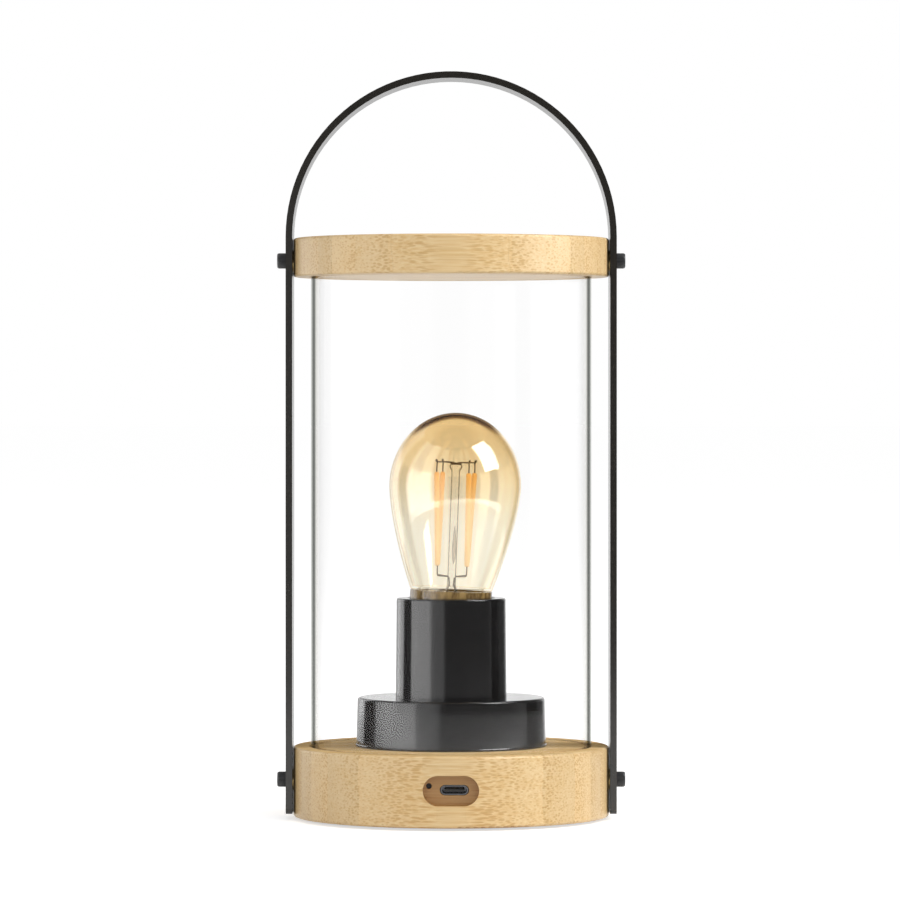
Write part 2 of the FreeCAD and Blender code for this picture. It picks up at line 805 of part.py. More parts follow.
# ------------------------------------------------------------------------- lamp holder
def make_holder():
    """Moulded foot and barrel, clamped together by the insulating core below them."""
    foot = turned(
        "holder_base",
        [
            ("holder_radius - holder_wall", "0"),
            ("foot_flare_radius", "0"),
            ("foot_flare_radius", "flare_height"),
            ("holder_radius", "flare_height + flare_slope"),
            ("holder_top_radius", "holder_height"),
            ("spigot_radius + spigot_gap", "holder_height"),
            ("spigot_radius + spigot_gap", "holder_height - holder_plate"),
            ("holder_top_radius - holder_wall", "holder_height - holder_plate"),
        ],
        z="base_top",
    )
    round_edges(foot, "holder_rim", "holder_round", [("holder_top_radius", "holder_height")])
    boss = circles(foot, "holder_boss", "XY_Plane", [("0", "boss_circle", "boss_radius")])
    around(foot, pad(foot, boss, "holder_height - holder_plate / 2"), 3)
    bore = "screw_radius + thread_gap"
    pilot = circles(foot, "holder_pilot", "XY_Plane", [("0", "boss_circle", bore)])
    deep = "holder_height - holder_plate - boss_end"
    around(foot, pocket(foot, pilot, deep, reverse=True), 3)
    keep(foot)

    barrel = turned(
        "holder_barrel",
        [
            ("barrel_bore", "-holder_plate"),
            ("spigot_radius", "-holder_plate"),
            ("spigot_radius", "0"),
            ("barrel_radius", "0"),
            ("barrel_top_radius", "barrel_height"),
            ("barrel_bore", "barrel_height"),
        ],
        z="plate_top",
    )
    lips = [("barrel_top_radius", "barrel_height"), ("barrel_bore", "barrel_height")]
    round_edges(barrel, "barrel_lips", "barrel_round", lips)
    across = "core_screw_circle"
    thread = "core_screw_radius + thread_gap"
    pilots = circles(barrel, "barrel_pilots", "XY_Plane",
                     [("0", across, thread), ("0", "-" + across, thread)], "-holder_plate")
    pocket(barrel, pilots, "core_screw_length - core_flange + pilot_end", reverse=True)
    keep(barrel)

    core = turned(
        "holder_core",
        [
            ("0", "-core_flange"),
            ("core_flange_radius", "-core_flange"),
            ("core_flange_radius", "0"),
            ("barrel_bore - core_gap", "0"),
            ("barrel_bore - core_gap", "core_rise"),
            ("0", "core_rise"),
        ],
        z="plate_bottom",
    )
    screw_at = "terminal_screw_y"
    drillings = circles(core, "core_drillings", "XY_Plane", [
        ("0", across, "core_screw_radius + shank_gap"),
        ("0", "-" + across, "core_screw_radius + shank_gap"),
        ("terminal_x", screw_at, "small_screw_radius + thread_gap"),
        ("-terminal_x", screw_at, "small_screw_radius + thread_gap"),
    ], "-core_flange")
    pocket(core, drillings, "core_flange + core_rise - core_end", reverse=True)
    keep(core)

    inner = "shell_radius - shell_wall"
    shell = turned(
        "screw_shell",
        [
            ("shell_radius - shell_lip", "0"),
            ("shell_radius", "0"),
            ("shell_radius", "shell_height"),
            (inner, "shell_height"),
            (inner, "shell_wall"),
            ("shell_radius - shell_lip", "shell_wall"),
        ],
        z="core_top",
    )
    keep(shell)

    contact = new_body("centre_contact", z="core_top")
    thick, rise = "shell_wall", "contact_rise"
    leaf = outline(contact, "contact_leaf", "XZ_Plane", [
        ("-leaf_left", "0"),
        ("-leaf_fold", "0"),
        ("%s - leaf_crown" % thick, "%s - %s" % (rise, thick)),
        ("leaf_crown", "%s - %s" % (rise, thick)),
        ("leaf_right", "%s - %s - leaf_droop" % (rise, thick)),
        ("leaf_right", "%s - leaf_droop" % rise),
        ("leaf_crown", rise),
        ("-leaf_crown", rise),
        ("-leaf_fold - %s" % thick, thick),
        ("-leaf_left", thick),
    ])
    pad(contact, leaf, "leaf_width", symmetric=True)
    keep(contact)


def pan_screw(label, shank, length, head, height):
    """A pan-head screw whose head lies under z = 0 and whose shank points up."""
    return turned(label, [
        ("0", length),
        (shank, length),
        (shank, "0"),
        (head, "0"),
        (head, "-(%s) * %g" % (height, HEAD_SIDE)),
        ("(%s) * %g" % (head, HEAD_FLAT), "-(%s)" % height),
        ("0", "-(%s)" % height),
    ])


def make_holder_fasteners():
    """Pan-head screws under the core, under the terminals and under the wooden web."""
    core_screw = pan_screw("one_core_screw", "core_screw_radius", "core_screw_length",
                           "core_head_radius", "core_head_height")
    keep(group("core_screws", core_screw, [
        ("0", "core_screw_circle", "core_bottom", Z_AXIS, 0),
        ("0", "-core_screw_circle", "core_bottom", Z_AXIS, 0),
    ]))
    terminal = pan_screw("one_terminal_screw", "small_screw_radius", "terminal_screw_length",
                         "small_head_radius", "small_head_height")
    keep(group("terminal_screws", terminal, [
        ("terminal_x", "terminal_screw_y", "terminal_bottom", Z_AXIS, 0),
        ("-terminal_x", "terminal_screw_y", "terminal_bottom", Z_AXIS, 0),
    ]))
    holder_screw = pan_screw("one_holder_screw", "screw_radius", "web_thickness + holder_screw_grip",
                             "head_radius", "holder_head_height")
    web_bottom = "base_top - web_thickness"
    keep(group("holder_screws", holder_screw, ring_places("boss_circle", 3, 90, web_bottom)))

    clamp = new_body("one_terminal_clamp")
    half, end = "clamp_half", "terminal_screw_y + clamp_end"
    plate = [("-" + half, "-" + half), (half, "-" + half), (half, end), ("-" + half, end)]
    pad(clamp, outline(clamp, "clamp_plate", "XY_Plane", plate), "terminal_thickness")
    bore = "small_screw_radius + shank_gap"
    hole = circles(clamp, "clamp_hole", "XY_Plane", [("0", "terminal_screw_y", bore)])
    pocket(clamp, hole, "terminal_thickness + overshoot", reverse=True)
    keep(group("terminal_clamps", clamp, [
        ("terminal_x", "0", "terminal_bottom", Z_AXIS, 0),
        ("-terminal_x", "0", "terminal_bottom", Z_AXIS, 0),
    ]))


# -------------------------------------------------------------------------------- bulb
def bulb_curve(inset):
    """The pear outline from shoulder to crown, moved inwards by inset."""
    waist = size("equator_radius") - inset
    shoulder = size("shoulder_radius") - inset
    rise, start = size("equator_rise"), size("shoulder_rise") + inset
    dome = size("dome_height") - inset
    steps = CURVE_STEPS
    lower = []
    for i in range(steps):
        share = 1 - i / steps
        radius = waist - (waist - shoulder) * share**PEAR_POWER
        lower.append(Vector(radius, 0, rise - share * (rise - start)))
    upper = []
    for i in range(steps + 1):
        angle = math.pi / 2 * i / steps
        upper.append(Vector(waist * math.cos(angle), 0, rise + dome * math.sin(angle)))
    curve = Part.BSplineCurve()
    points = lower + upper
    level = Vector(-1, 0, 0)
    slope = (points[1] - points[0]).normalize()
    curve.interpolate(Points=points, InitialTangent=slope, FinalTangent=level)
    return curve


def lathe(points, curve):
    """Solid turned about Z from the axis, through the points, and along the curve."""
    edges = [Part.makeLine(a, b) for a, b in zip(points, points[1:])]
    edges.append(curve.toShape())
    edges.append(Part.makeLine(curve.EndPoint, points[0]))
    face = Part.Face(Part.Wire(edges))
    return face.revolve(Vector(), Z_AXIS, 360)


def make_bulb_glass():
    """Thin blown envelope: pear above the collar, plain neck inside it."""
    wall, neck, length = size("bulb_wall"), size("neck_radius"), size("neck_length")
    below = -length - size("overshoot")
    outer_curve, inner_curve = bulb_curve(0), bulb_curve(wall)
    shoulder = size("shoulder_radius")
    step = size("shoulder_step")
    outer = lathe(
        [
            Vector(0, 0, -length),
            Vector(neck, 0, -length),
            Vector(neck, 0, step),
            Vector(shoulder - size("shoulder_edge"), 0, step),
            outer_curve.StartPoint,
        ],
        outer_curve,
    )
    inner = lathe(
        [
            Vector(0, 0, below),
            Vector(neck - wall, 0, below),
            Vector(neck - wall, 0, step + wall),
            inner_curve.StartPoint,
        ],
        inner_curve,
    )
    glass = doc.addObject("Part::Feature", "bulb_glass")
    glass.Label = "bulb_glass"
    glass.Shape = outer.cut(inner)
    lean_with_bulb(glass)
    keep(glass)


def make_bulb_base():
    """Collar over the joint of glass and cap, the cap, its insulator and the tip."""
    inner = "collar_radius - collar_wall"
    lip = "neck_radius + collar_gap"
    collar = turned("bulb_collar", [
        (inner, "-collar_height"),
        ("collar_radius", "-collar_height"),
        ("collar_radius", "0"),
        (lip, "0"),
        (lip, "-collar_lip"),
        (inner, "-collar_lip"),
    ])
    lean_with_bulb(collar)
    keep(collar)

    cap_inner = "cap_radius - cap_wall"
    cap = turned(
        "bulb_cap",
        [
            ("insulator_radius - cap_wall", "0"),
            ("insulator_radius", "0"),
            ("cap_radius", "cap_cone"),
            ("cap_radius", "cap_length"),
            (cap_inner, "cap_length"),
            (cap_inner, "cap_cone"),
            ("insulator_radius - cap_wall", "cap_wall"),
        ],
        z="cap_bottom",
    )
    keep(cap)
    insulator = turned(
        "cap_insulator",
        [
            ("0", "0"),
            ("tip_radius", "0"),
            ("insulator_radius - cap_wall / 2", "insulator_height"),
            ("0", "insulator_height"),
        ],
        z="insulator_bottom",
    )
    keep(insulator)
    tip = turned(
        "tip_contact",
        [
            ("0", "0"),
            ("tip_radius * %g" % TIP_FLAT, "0"),
            ("tip_radius * %g" % TIP_SHOULDER, "tip_height / 2"),
            ("tip_radius", "tip_height"),
            ("0", "tip_height"),
        ],
        z="tip_bottom",
    )
    keep(tip)


def make_stem():
    """Glass mount: a flared foot in the neck that narrows to a rod with a small button."""
    rod, top = "stem_radius", "stem_top"
    foot = "neck_radius - bulb_wall - stem_gap"
    stem = turned("bulb_stem", [
        ("0", "-neck_length"),
        (foot, "-neck_length"),
        (foot, "stem_rim - neck_length"),
        ("throat_radius", "-throat_drop"),
        ("%s + swell" % rod, "swell_rise"),
        (rod, "rod_rise"),
        (rod, "%s - stem_button_height - stem_button" % top),
        ("%s + stem_button" % rod, "%s - stem_button_height" % top),
        ("%s + stem_button" % rod, top),
        ("0", top),
    ])
    lean_with_bulb(stem)
    keep(stem)


def rod(start, finish, radius):
    return Part.makeCylinder(radius, (finish - start).Length, start, finish - start)


def filament_ends():
    """Top and bottom end of each of the four filaments, about the bulb's own axis."""
    ends = []
    for quarter in range(4):
        high = math.radians(size("filament_top_turn") + 90 * quarter)
        low = math.radians(size("filament_low_turn") + 90 * quarter)
        wide, narrow = size("filament_top_circle"), size("filament_low_circle")
        top = Vector(wide * math.cos(high), wide * math.sin(high), size("filament_top"))
        foot = Vector(narrow * math.cos(low), narrow * math.sin(low), size("filament_bottom"))
        ends.append((top, foot))
    return ends


def make_filaments():
    """Four light-emitting rods and the wires that hold them to the stem."""
    gap = size("wire_gap")
    rods = []
    wires = []
    wire = size("wire_radius")
    stem = size("stem_radius")
    for top, foot in filament_ends():
        rods.append(rod(foot, top, size("filament_radius")))
        along = (top - foot).normalize()
        hub = Vector(top.x, top.y, 0).normalize()
        knee = Vector(top.x, top.y, size("frame_rise"))
        inner = hub * (stem / 2) + Vector(0, 0, size("frame_rise"))
        arm = rod(inner, knee, wire).fuse(Part.makeSphere(wire, knee))
        wires.append(arm.fuse(rod(knee, top + along * gap, wire)))
        hub = Vector(foot.x, foot.y, 0).normalize()
        heel = Vector(foot.x, foot.y, size("cross_rise"))
        inner = hub * (stem + gap) + Vector(0, 0, size("cross_rise"))
        arm = rod(inner, heel, wire).fuse(Part.makeSphere(wire, heel))
        wires.append(arm.fuse(rod(heel, foot - along * gap, wire)))
    hub_disc = Part.makeCylinder(stem, 2 * wire, Vector(0, 0, size("frame_rise") - wire))
    crown = hub_disc.fuse(wires[0::2]).removeSplitter()
    for label, shapes in (("led_filaments", rods), ("filament_frame", [crown] + wires[1::2])):
        piece = doc.addObject("Part::Feature", label)
        piece.Label = label
        piece.Shape = Part.makeCompound(shapes)
        lean_with_bulb(piece)
        keep(piece)


# ------------------------------------------------------------------------- electronics
def make_port():
    """Receptacle shell with its tongue, standing on the front edge of the board."""
    front = "recess_floor - usb_inset"
    shell = new_body("usb_shell", x="port_offset", z="port_centre")
    skin = obround(shell, "usb_outside", "XZ_Plane", "0", "0", "usb_width", "usb_height", front)
    pad(shell, skin, "usb_length", reverse=True)
    mouth = obround(shell, "usb_mouth", "XZ_Plane", "0", "0", "usb_width - 2 * usb_wall",
                    "usb_height - 2 * usb_wall", front)
    pocket(shell, mouth, "usb_length - usb_wall")
    keep(shell)

    tongue = new_body("usb_tongue", x="port_offset", z="port_centre")
    half, thin = "tongue_width / 2", "tongue_thickness / 2"
    blade = outline(tongue, "tongue_blade", "XZ_Plane",
                    [("-" + half, "-" + thin), (half, "-" + thin), (half, thin), ("-" + half, thin)],
                    front + " - tongue_inset")
    pad(tongue, blade, "usb_length - tongue_inset - usb_wall", reverse=True)
    keep(tongue)


def make_led():
    """Indicator lens in its hole, and the black block that holds it at that height."""
    body_front = "port_back - nose_gap"
    lens = new_body("charge_led", x="led_offset", z="led_centre")
    nose = circles(lens, "led_nose", "XZ_Plane", [("0", "0", "led_hole_radius - led_gap")],
                   "recess_floor - led_inset")
    pad(lens, nose, "recess_floor - led_inset - (%s)" % body_front, reverse=True)
    keep(lens)
    spacer = new_body("led_spacer", x="led_offset")
    block(spacer, "spacer_block", "0", "-(%s) + spacer_depth / 2" % body_front, "board_top",
          "spacer_half_width", "spacer_depth / 2", "led_centre - board_top + spacer_over")
    keep(spacer)


def make_board():
    """Board with a narrow front that reaches into the relief behind the port."""
    board = new_body("circuit_board", z="board_bottom")
    side, front, back = "board_half_width", "-board_front + board_gap", "-board_back"
    nose = "-port_back + nose_gap"
    sheet_outline = outline(board, "board_outline", "XY_Plane", [
        ("-tongue_left", nose),
        ("tongue_right", nose),
        ("tongue_right", front),
        (side, front),
        (side, back),
        ("-" + side, back),
        ("-" + side, front),
        ("-tongue_left", front),
    ])
    pad(board, sheet_outline, "board_thickness")
    bore = "small_screw_radius + shank_gap"
    holes = circles(board, "board_holes", "XY_Plane",
                    [("post_x", "-post_y", bore), ("-post_x", "-post_y", bore)])
    pocket(board, holes, "board_thickness + overshoot", reverse=True)
    keep(board)

    screw = pan_screw("one_board_screw", "small_screw_radius", "board_screw_length",
                      "small_head_radius", "small_head_height")
    keep(group("board_screws", screw, [
        ("post_x", "-post_y", "board_top", X_AXIS, 180),
        ("-post_x", "-post_y", "board_top", X_AXIS, 180),
    ]))


def make_switch():
    """Push switch under the board, its plunger, and the dished button in the cover."""
    switch = new_body("switch_body", y="-button_y", z="switch_bottom")
    half = "switch_side / 2"
    block(switch, "switch_case", "0", "0", "0", half, half, "switch_height")
    well = circles(switch, "switch_well", "XY_Plane", [("0", "0", "plunger_radius + plunger_gap")])
    pocket(switch, well, "switch_height - switch_roof", reverse=True)
    keep(switch)

    reach = "board_bottom - switch_roof - button_travel - plunger_room - flange_top"
    plunger = turned("switch_plunger", [
        ("0", "0"),
        ("plunger_radius", "0"),
        ("plunger_radius", "(%s) - plunger_chamfer" % reach),
        ("plunger_radius - plunger_chamfer", reach),
        ("0", reach),
    ], z="flange_top")
    plunger.setExpression("Placement.Base.y", bound("-button_y"))
    keep(plunger)

    wide = "button_radius + button_flange"
    low = "flange_bottom - button_bottom"
    high = "flange_top - button_bottom"
    button = turned("switch_button", [
        ("0", "button_dish"),
        ("button_radius - button_dish_rim", "button_dish / 2"),
        ("button_radius - button_land", "0"),
        ("button_radius - button_chamfer", "0"),
        ("button_radius", "button_chamfer"),
        ("button_radius", low),
        (wide, low),
        (wide, high),
        ("0", high),
    ], z="button_bottom")
    button.setExpression("Placement.Base.y", bound("-button_y"))
    keep(button)


def make_cover():
    """Moulded bottom cover with board posts, foot seats and the button hole."""
    cover = turned(
        "bottom_cover",
        [
            ("0", "0"),
            ("cover_radius - cover_chamfer", "0"),
            ("cover_radius", "cover_chamfer"),
            ("cover_radius", "cover_thickness"),
            ("0", "cover_thickness"),
        ],
        z="cover_bottom",
    )
    posts = circles(cover, "board_posts", "XY_Plane",
                    [("post_x", "-post_y", "post_radius"), ("-post_x", "-post_y", "post_radius")],
                    "cover_thickness")
    pad(cover, posts, "board_bottom - cover_top")
    bore = "small_screw_radius + thread_gap"
    pilots = circles(cover, "post_pilots", "XY_Plane",
                     [("post_x", "-post_y", bore), ("-post_x", "-post_y", bore)], "cover_thickness")
    pocket(cover, pilots, "board_bottom - cover_top + overshoot", reverse=True)
    bore = "button_radius + button_gap"
    hole = circles(cover, "button_hole", "XY_Plane", [("0", "-button_y", bore)])
    pocket(cover, hole, "cover_thickness + overshoot", reverse=True)
    corner = "foot_circle * cos(45 deg)"
    seat = circles(cover, "foot_seat", "XY_Plane", [(corner, corner, "foot_radius + foot_gap")])
    around(cover, pocket(cover, seat, "foot_sink", reverse=True), 4)
    corner = "cover_screw_circle * cos(45 deg)"
    bore = "small_screw_radius + shank_gap"
    shank = circles(cover, "cover_hole", "XY_Plane", [(corner, corner, bore)])
    around(cover, pocket(cover, shank, "cover_thickness + overshoot", reverse=True), 4)
    bore = "small_head_radius + head_gap"
    sink = circles(cover, "cover_counterbore", "XY_Plane", [(corner, corner, bore)])
    around(cover, pocket(cover, sink, "counterbore", reverse=True), 4)
    keep(cover)

    screw = pan_screw("one_cover_screw", "small_screw_radius", "small_screw_length",
                      "small_head_radius", "small_head_height")
    seat = "cover_bottom + counterbore"
    keep(group("cover_screws", screw, ring_places("cover_screw_circle", 4, 45, seat)))

    foot = turned("one_rubber_foot", [
        ("0", "0"),
        ("foot_radius - foot_chamfer", "0"),
        ("foot_radius", "foot_chamfer"),
        ("foot_radius", "cover_bottom + foot_sink"),
        ("0", "cover_bottom + foot_sink"),
    ])
    keep(group("rubber_feet", foot, ring_places("foot_circle", 4, 45, "0")))


def make_battery():
    """Flat cell on a foam pad, with its plug on the board."""
    half_x, half_y = "cell_length / 2", "cell_width / 2"
    pad_body = new_body("battery_pad", y="cell_y", z="cover_top")
    block(pad_body, "foam", "0", "0", "0", half_x + " - pad_inset", half_y + " - pad_inset",
          "pad_thickness")
    keep(pad_body)
    cell = new_body("battery_cell", y="cell_y", z="cell_bottom")
    block(cell, "cell_block", "0", "0", "0", half_x, half_y, "cell_height")
    round_straight_edges(
        cell, "cell_rounds", "cell_round",
        lambda a, b: abs(abs(a.x - b.x) - size("cell_length")) < 0.01,
    )
    keep(cell)
    plug = new_body("battery_plug", x="plug_x", y="-plug_y", z="board_top")
    half = "plug_length / 2"
    block(plug, "plug_block", half, "0", "0", half, "plug_width / 2", "plug_height")
    keep(plug)


def lead(points):
    """A wire: straight runs joined by tangent arcs, as wide as each corner allows."""
    edges = []
    here = points[0]
    for before, corner, after in zip(points, points[1:], points[2:]):
        back, ahead = (before - corner), (after - corner)
        turn = math.pi - back.getAngle(ahead)
        reach = BEND_SHARE * min(back.Length, ahead.Length)
        start = corner + back.normalize() * reach
        finish = corner + ahead.normalize() * reach
        radius = reach / math.tan(turn / 2)
        inward = (back + ahead).normalize()
        middle = corner + inward * (radius / math.cos(turn / 2) - radius)
        edges.append(Part.LineSegment(here, start).toShape())
        edges.append(Part.Arc(start, middle, finish).toShape())
        here = finish
    edges.append(Part.LineSegment(here, points[-1]).toShape())
    path = Part.Wire(edges)
    radius = size("lead_radius")
    section = Part.Wire(Part.Circle(points[0], points[1] - points[0], radius).toShape())
    tube = path.makePipeShell([section], True, False)
    wanted = math.pi * radius**2 * path.Length
    if abs(tube.Volume - wanted) > 0.01 * wanted:
        raise RuntimeError("a lead's tube isn't its section times its length")
    return tube


def make_leads():
    """Two wires from the board up to the terminals, two from the cell to its plug."""
    board, start = size("board_top"), -size("board_back + lead_inset")
    web = size("base_top - web_thickness")
    level = web - size("lead_under")
    up = []
    for side in (-1, 1):
        x = side * size("terminal_x")
        up.append(lead([
            Vector(x, start, board),
            Vector(x, start, board + size("lead_stub")),
            Vector(x, start + size("lead_lean"), level),
            Vector(x, -size("lead_turn"), level),
            Vector(x, 0, web + size("lead_climb")),
            Vector(x, 0, size("terminal_bottom")),
        ]))
    plug_face, plug_middle = size("plug_x + plug_length"), size("board_top + plug_height / 2")
    cell_end, middle = size("cell_length / 2"), size("cell_bottom + cell_height / 2")
    cell_y, plug_y = size("cell_y - cell_lead_offset"), -size("plug_y")
    far = cell_end + size("cell_lead_reach")
    across = []
    for side in (-1, 1):
        step = side * size("lead_pitch") / 2
        across.append(lead([
            Vector(cell_end, cell_y + step, middle),
            Vector(far, cell_y + step, middle),
            Vector(far - size("cell_lead_return"), plug_y + step, plug_middle),
            Vector(plug_face, plug_y + step, plug_middle),
        ]))
    for label, tubes in (("holder_leads", up), ("battery_leads", across)):
        piece = doc.addObject("Part::Feature", label)
        piece.Label = label
        piece.Shape = Part.makeCompound(tubes)
        keep(piece)


# ------------------------------------------------------------------------------- build
make_base()
make_lid()
make_glass()
make_strap()
make_strap_fasteners()
make_holder()
make_holder_fasteners()
make_bulb_glass()
make_bulb_base()
make_stem()
make_filaments()
make_port()
make_led()
make_board()
make_switch()
make_cover()
make_battery()
make_leads()
doc.recompute()

for thing in doc.Objects:
    if "Invalid" in thing.State or "Error" in thing.State:
        raise RuntimeError("%s failed: %s" % (thing.Name, thing.State))
for part in PARTS:
    if part.Shape.isNull() or not part.Shape.isValid():
        raise RuntimeError(part.Label + " has no valid shape")

os.makedirs("parts", exist_ok=True)
for part in PARTS:
    part.Shape.exportStep("parts/%s.step" % part.Label)
print(len(PARTS), "parts written")
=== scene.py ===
"""Looks of the lantern table lamp: materials, finely detailed pieces, floor, light and camera.

Metres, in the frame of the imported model: the lamp stands on z = 0, its axis is Z and
the charging port faces -Y. Sizes of pieces are written in millimetres, and MM or
scaled_to_metres() turns them into metres."""

import json
import math

import bmesh
import bpy
from mathutils import Matrix, Vector


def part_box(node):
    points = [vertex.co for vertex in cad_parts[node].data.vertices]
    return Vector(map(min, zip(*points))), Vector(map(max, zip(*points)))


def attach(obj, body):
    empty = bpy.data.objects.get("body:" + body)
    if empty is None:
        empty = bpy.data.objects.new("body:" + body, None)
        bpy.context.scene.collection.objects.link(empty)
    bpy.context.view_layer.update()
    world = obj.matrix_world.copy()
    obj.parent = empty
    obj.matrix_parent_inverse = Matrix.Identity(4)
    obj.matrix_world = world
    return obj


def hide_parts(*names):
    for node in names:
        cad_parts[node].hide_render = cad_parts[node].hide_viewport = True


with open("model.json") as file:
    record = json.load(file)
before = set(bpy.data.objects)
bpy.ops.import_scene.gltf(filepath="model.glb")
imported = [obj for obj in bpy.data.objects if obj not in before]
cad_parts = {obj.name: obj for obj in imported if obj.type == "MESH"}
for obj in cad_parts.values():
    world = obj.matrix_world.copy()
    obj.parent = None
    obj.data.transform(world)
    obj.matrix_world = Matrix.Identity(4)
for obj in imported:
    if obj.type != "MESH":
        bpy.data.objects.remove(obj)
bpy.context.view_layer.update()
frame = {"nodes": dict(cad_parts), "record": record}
NODES = frame["nodes"]
SCENE = bpy.context.scene

MM = 0.001
TAU = 2 * math.pi

# heights and radii taken from the solids, in millimetres
BASE_RADIUS = 55.4
WOOD_BOTTOM = 1.0
RECESS_BEHIND, RECESS_ABOVE = 48.0, 21.0  # the port's recess is in front of one, below the other
COLLAR_TOP = 79.9
BULB_LEAN = math.radians(2.2)
STRAP_OUTER = 57.8
GLASS_MIDDLE = 48.3
SCREW_HEIGHTS = (13.7, 195.7)


# ------------------------------------------------------------------------ node helpers
class Shader:
    """A material with its Principled shader and short ways to add nodes."""

    def __init__(self, name):
        self.material = bpy.data.materials.new(name)
        self.material.use_nodes = True
        self.tree = self.material.node_tree
        self.main = self.tree.nodes["Principled BSDF"]
        self.output = self.tree.nodes["Material Output"]

    def add(self, kind, **values):
        node = self.tree.nodes.new(kind)
        for key, value in values.items():
            setattr(node, key, value)
        return node

    def link(self, start, end):
        self.tree.links.new(start, end)

    def place(self):
        """Object coordinates, which are metres in the lamp's frame."""
        return self.add("ShaderNodeTexCoord").outputs["Object"]

    def math(self, operation, a, b=0.0, c=0.0, clamp=False):
        node = self.add("ShaderNodeMath", operation=operation, use_clamp=clamp)
        for socket, value in zip(node.inputs, (a, b, c)):
            if isinstance(value, (int, float)):
                socket.default_value = value
            else:
                self.link(value, socket)
        return node.outputs[0]

    def facing(self):
        """Nought where a surface is seen square on, one where it is seen edge-on."""
        weight = self.add("ShaderNodeLayerWeight")
        weight.inputs["Blend"].default_value = 0.5
        return weight.outputs["Facing"]

    def from_axis(self, x, y):
        """Distance from the lamp's axis."""
        squares = self.math("MULTIPLY", x, x), self.math("MULTIPLY", y, y)
        return self.math("SQRT", self.math("ADD", *squares))

    def split(self, vector):
        node = self.add("ShaderNodeSeparateXYZ")
        self.link(vector, node.inputs[0])
        return node.outputs

    def join(self, x, y, z):
        node = self.add("ShaderNodeCombineXYZ")
        for socket, value in zip(node.inputs, (x, y, z)):
            if isinstance(value, (int, float)):
                socket.default_value = value
            else:
                self.link(value, socket)
        return node.outputs[0]

    def scaled(self, vector, x, y, z):
        node = self.add("ShaderNodeVectorMath", operation="MULTIPLY")
        self.link(vector, node.inputs[0])
        node.inputs[1].default_value = (x, y, z)
        return node.outputs[0]

    def noise(self, vector, scale, detail=3.0, roughness=0.55):
        node = self.add("ShaderNodeTexNoise")
        self.link(vector, node.inputs["Vector"])
        node.inputs["Scale"].default_value = scale
        node.inputs["Detail"].default_value = detail
        node.inputs["Roughness"].default_value = roughness
        return node.outputs["Fac"]

    def voronoi(self, vector, scale, randomness=1.0, feature="F1"):
        node = self.add("ShaderNodeTexVoronoi", feature=feature)
        self.link(vector, node.inputs["Vector"])
        node.inputs["Scale"].default_value = scale
        node.inputs["Randomness"].default_value = randomness
        return node.outputs

    def ramp(self, factor, stops, interpolation="LINEAR"):
        """A colour ramp; a stop is (position, colour or grey level)."""
        node = self.add("ShaderNodeValToRGB")
        node.color_ramp.interpolation = interpolation
        elements = node.color_ramp.elements
        while len(elements) < len(stops):
            elements.new(1.0)
        for element, (position, colour) in zip(elements, stops):
            if isinstance(colour, (int, float)):
                colour = (colour, colour, colour)
            element.position = position
            element.color = (*colour, 1.0)
        self.link(factor, node.inputs[0])
        return node.outputs[0]

    def range(self, value, low, high, to_low=0.0, to_high=1.0, smooth=False):
        node = self.add("ShaderNodeMapRange")
        node.interpolation_type = "SMOOTHSTEP" if smooth else "LINEAR"
        self.link(value, node.inputs["Value"])
        limits = {"From Min": low, "From Max": high, "To Min": to_low, "To Max": to_high}
        for name, number in limits.items():
            node.inputs[name].default_value = number
        return node.outputs["Result"]

    def mix(self, factor, a, b, blend="MIX"):
        """Mixes two colours; each may be a socket or a tuple."""
        node = self.add("ShaderNodeMix", data_type="RGBA", blend_type=blend)
        for socket, value in ((node.inputs[0], factor), (node.inputs[6], a), (node.inputs[7], b)):
            if isinstance(value, (int, float)):
                socket.default_value = value
            elif isinstance(value, tuple):
                socket.default_value = (*value, 1.0)
            else:
                self.link(value, socket)
        return node.outputs[2]

    def bump(self, height, distance, strength=1.0, normal=None):
        node = self.add("ShaderNodeBump")
        node.inputs["Strength"].default_value = strength
        node.inputs["Distance"].default_value = distance
        self.link(height, node.inputs["Height"])
        if normal is not None:
            self.link(normal, node.inputs["Normal"])
        return node.outputs[0]

    def upward(self):
        """One on faces that look straight up, nought on the others."""
        geometry = self.add("ShaderNodeNewGeometry")
        return self.math("GREATER_THAN", self.split(geometry.outputs["True Normal"])[2], 0.95)

    def set(self, **inputs):
        """Sets or links inputs of the Principled shader; underscores stand for spaces."""
        for key, value in inputs.items():
            socket = self.main.inputs[key.replace("_", " ")]
            if isinstance(value, (int, float)):
                socket.default_value = value
            elif isinstance(value, tuple):
                socket.default_value = (*value, 1.0)
            else:
                self.link(value, socket)


def grained(name, colour, spread, roughness, grain, bump, metallic=0.0, specular=0.5, worn=0.04):
    """A moulded, coated or turned surface: soft colour drift, fine grain and its bump."""
    s = Shader(name)
    place = s.place()
    drift = s.noise(place, 1 / (12 * MM), 2.0)
    fine = s.noise(place, 1 / (grain * MM), 4.0, 0.65)
    low = tuple(c * (1 - spread) for c in colour)
    high = tuple(min(1.0, c * (1 + spread)) for c in colour)
    tone = s.mix(drift, low, high)
    s.set(Base_Color=s.mix(s.math("MULTIPLY", fine, 0.25), tone, high))
    s.set(Roughness=s.range(fine, 0.3, 0.7, roughness - worn, roughness + worn))
    s.set(Metallic=metallic, Specular_IOR_Level=specular)
    s.set(Normal=s.bump(fine, bump * MM))
    return s


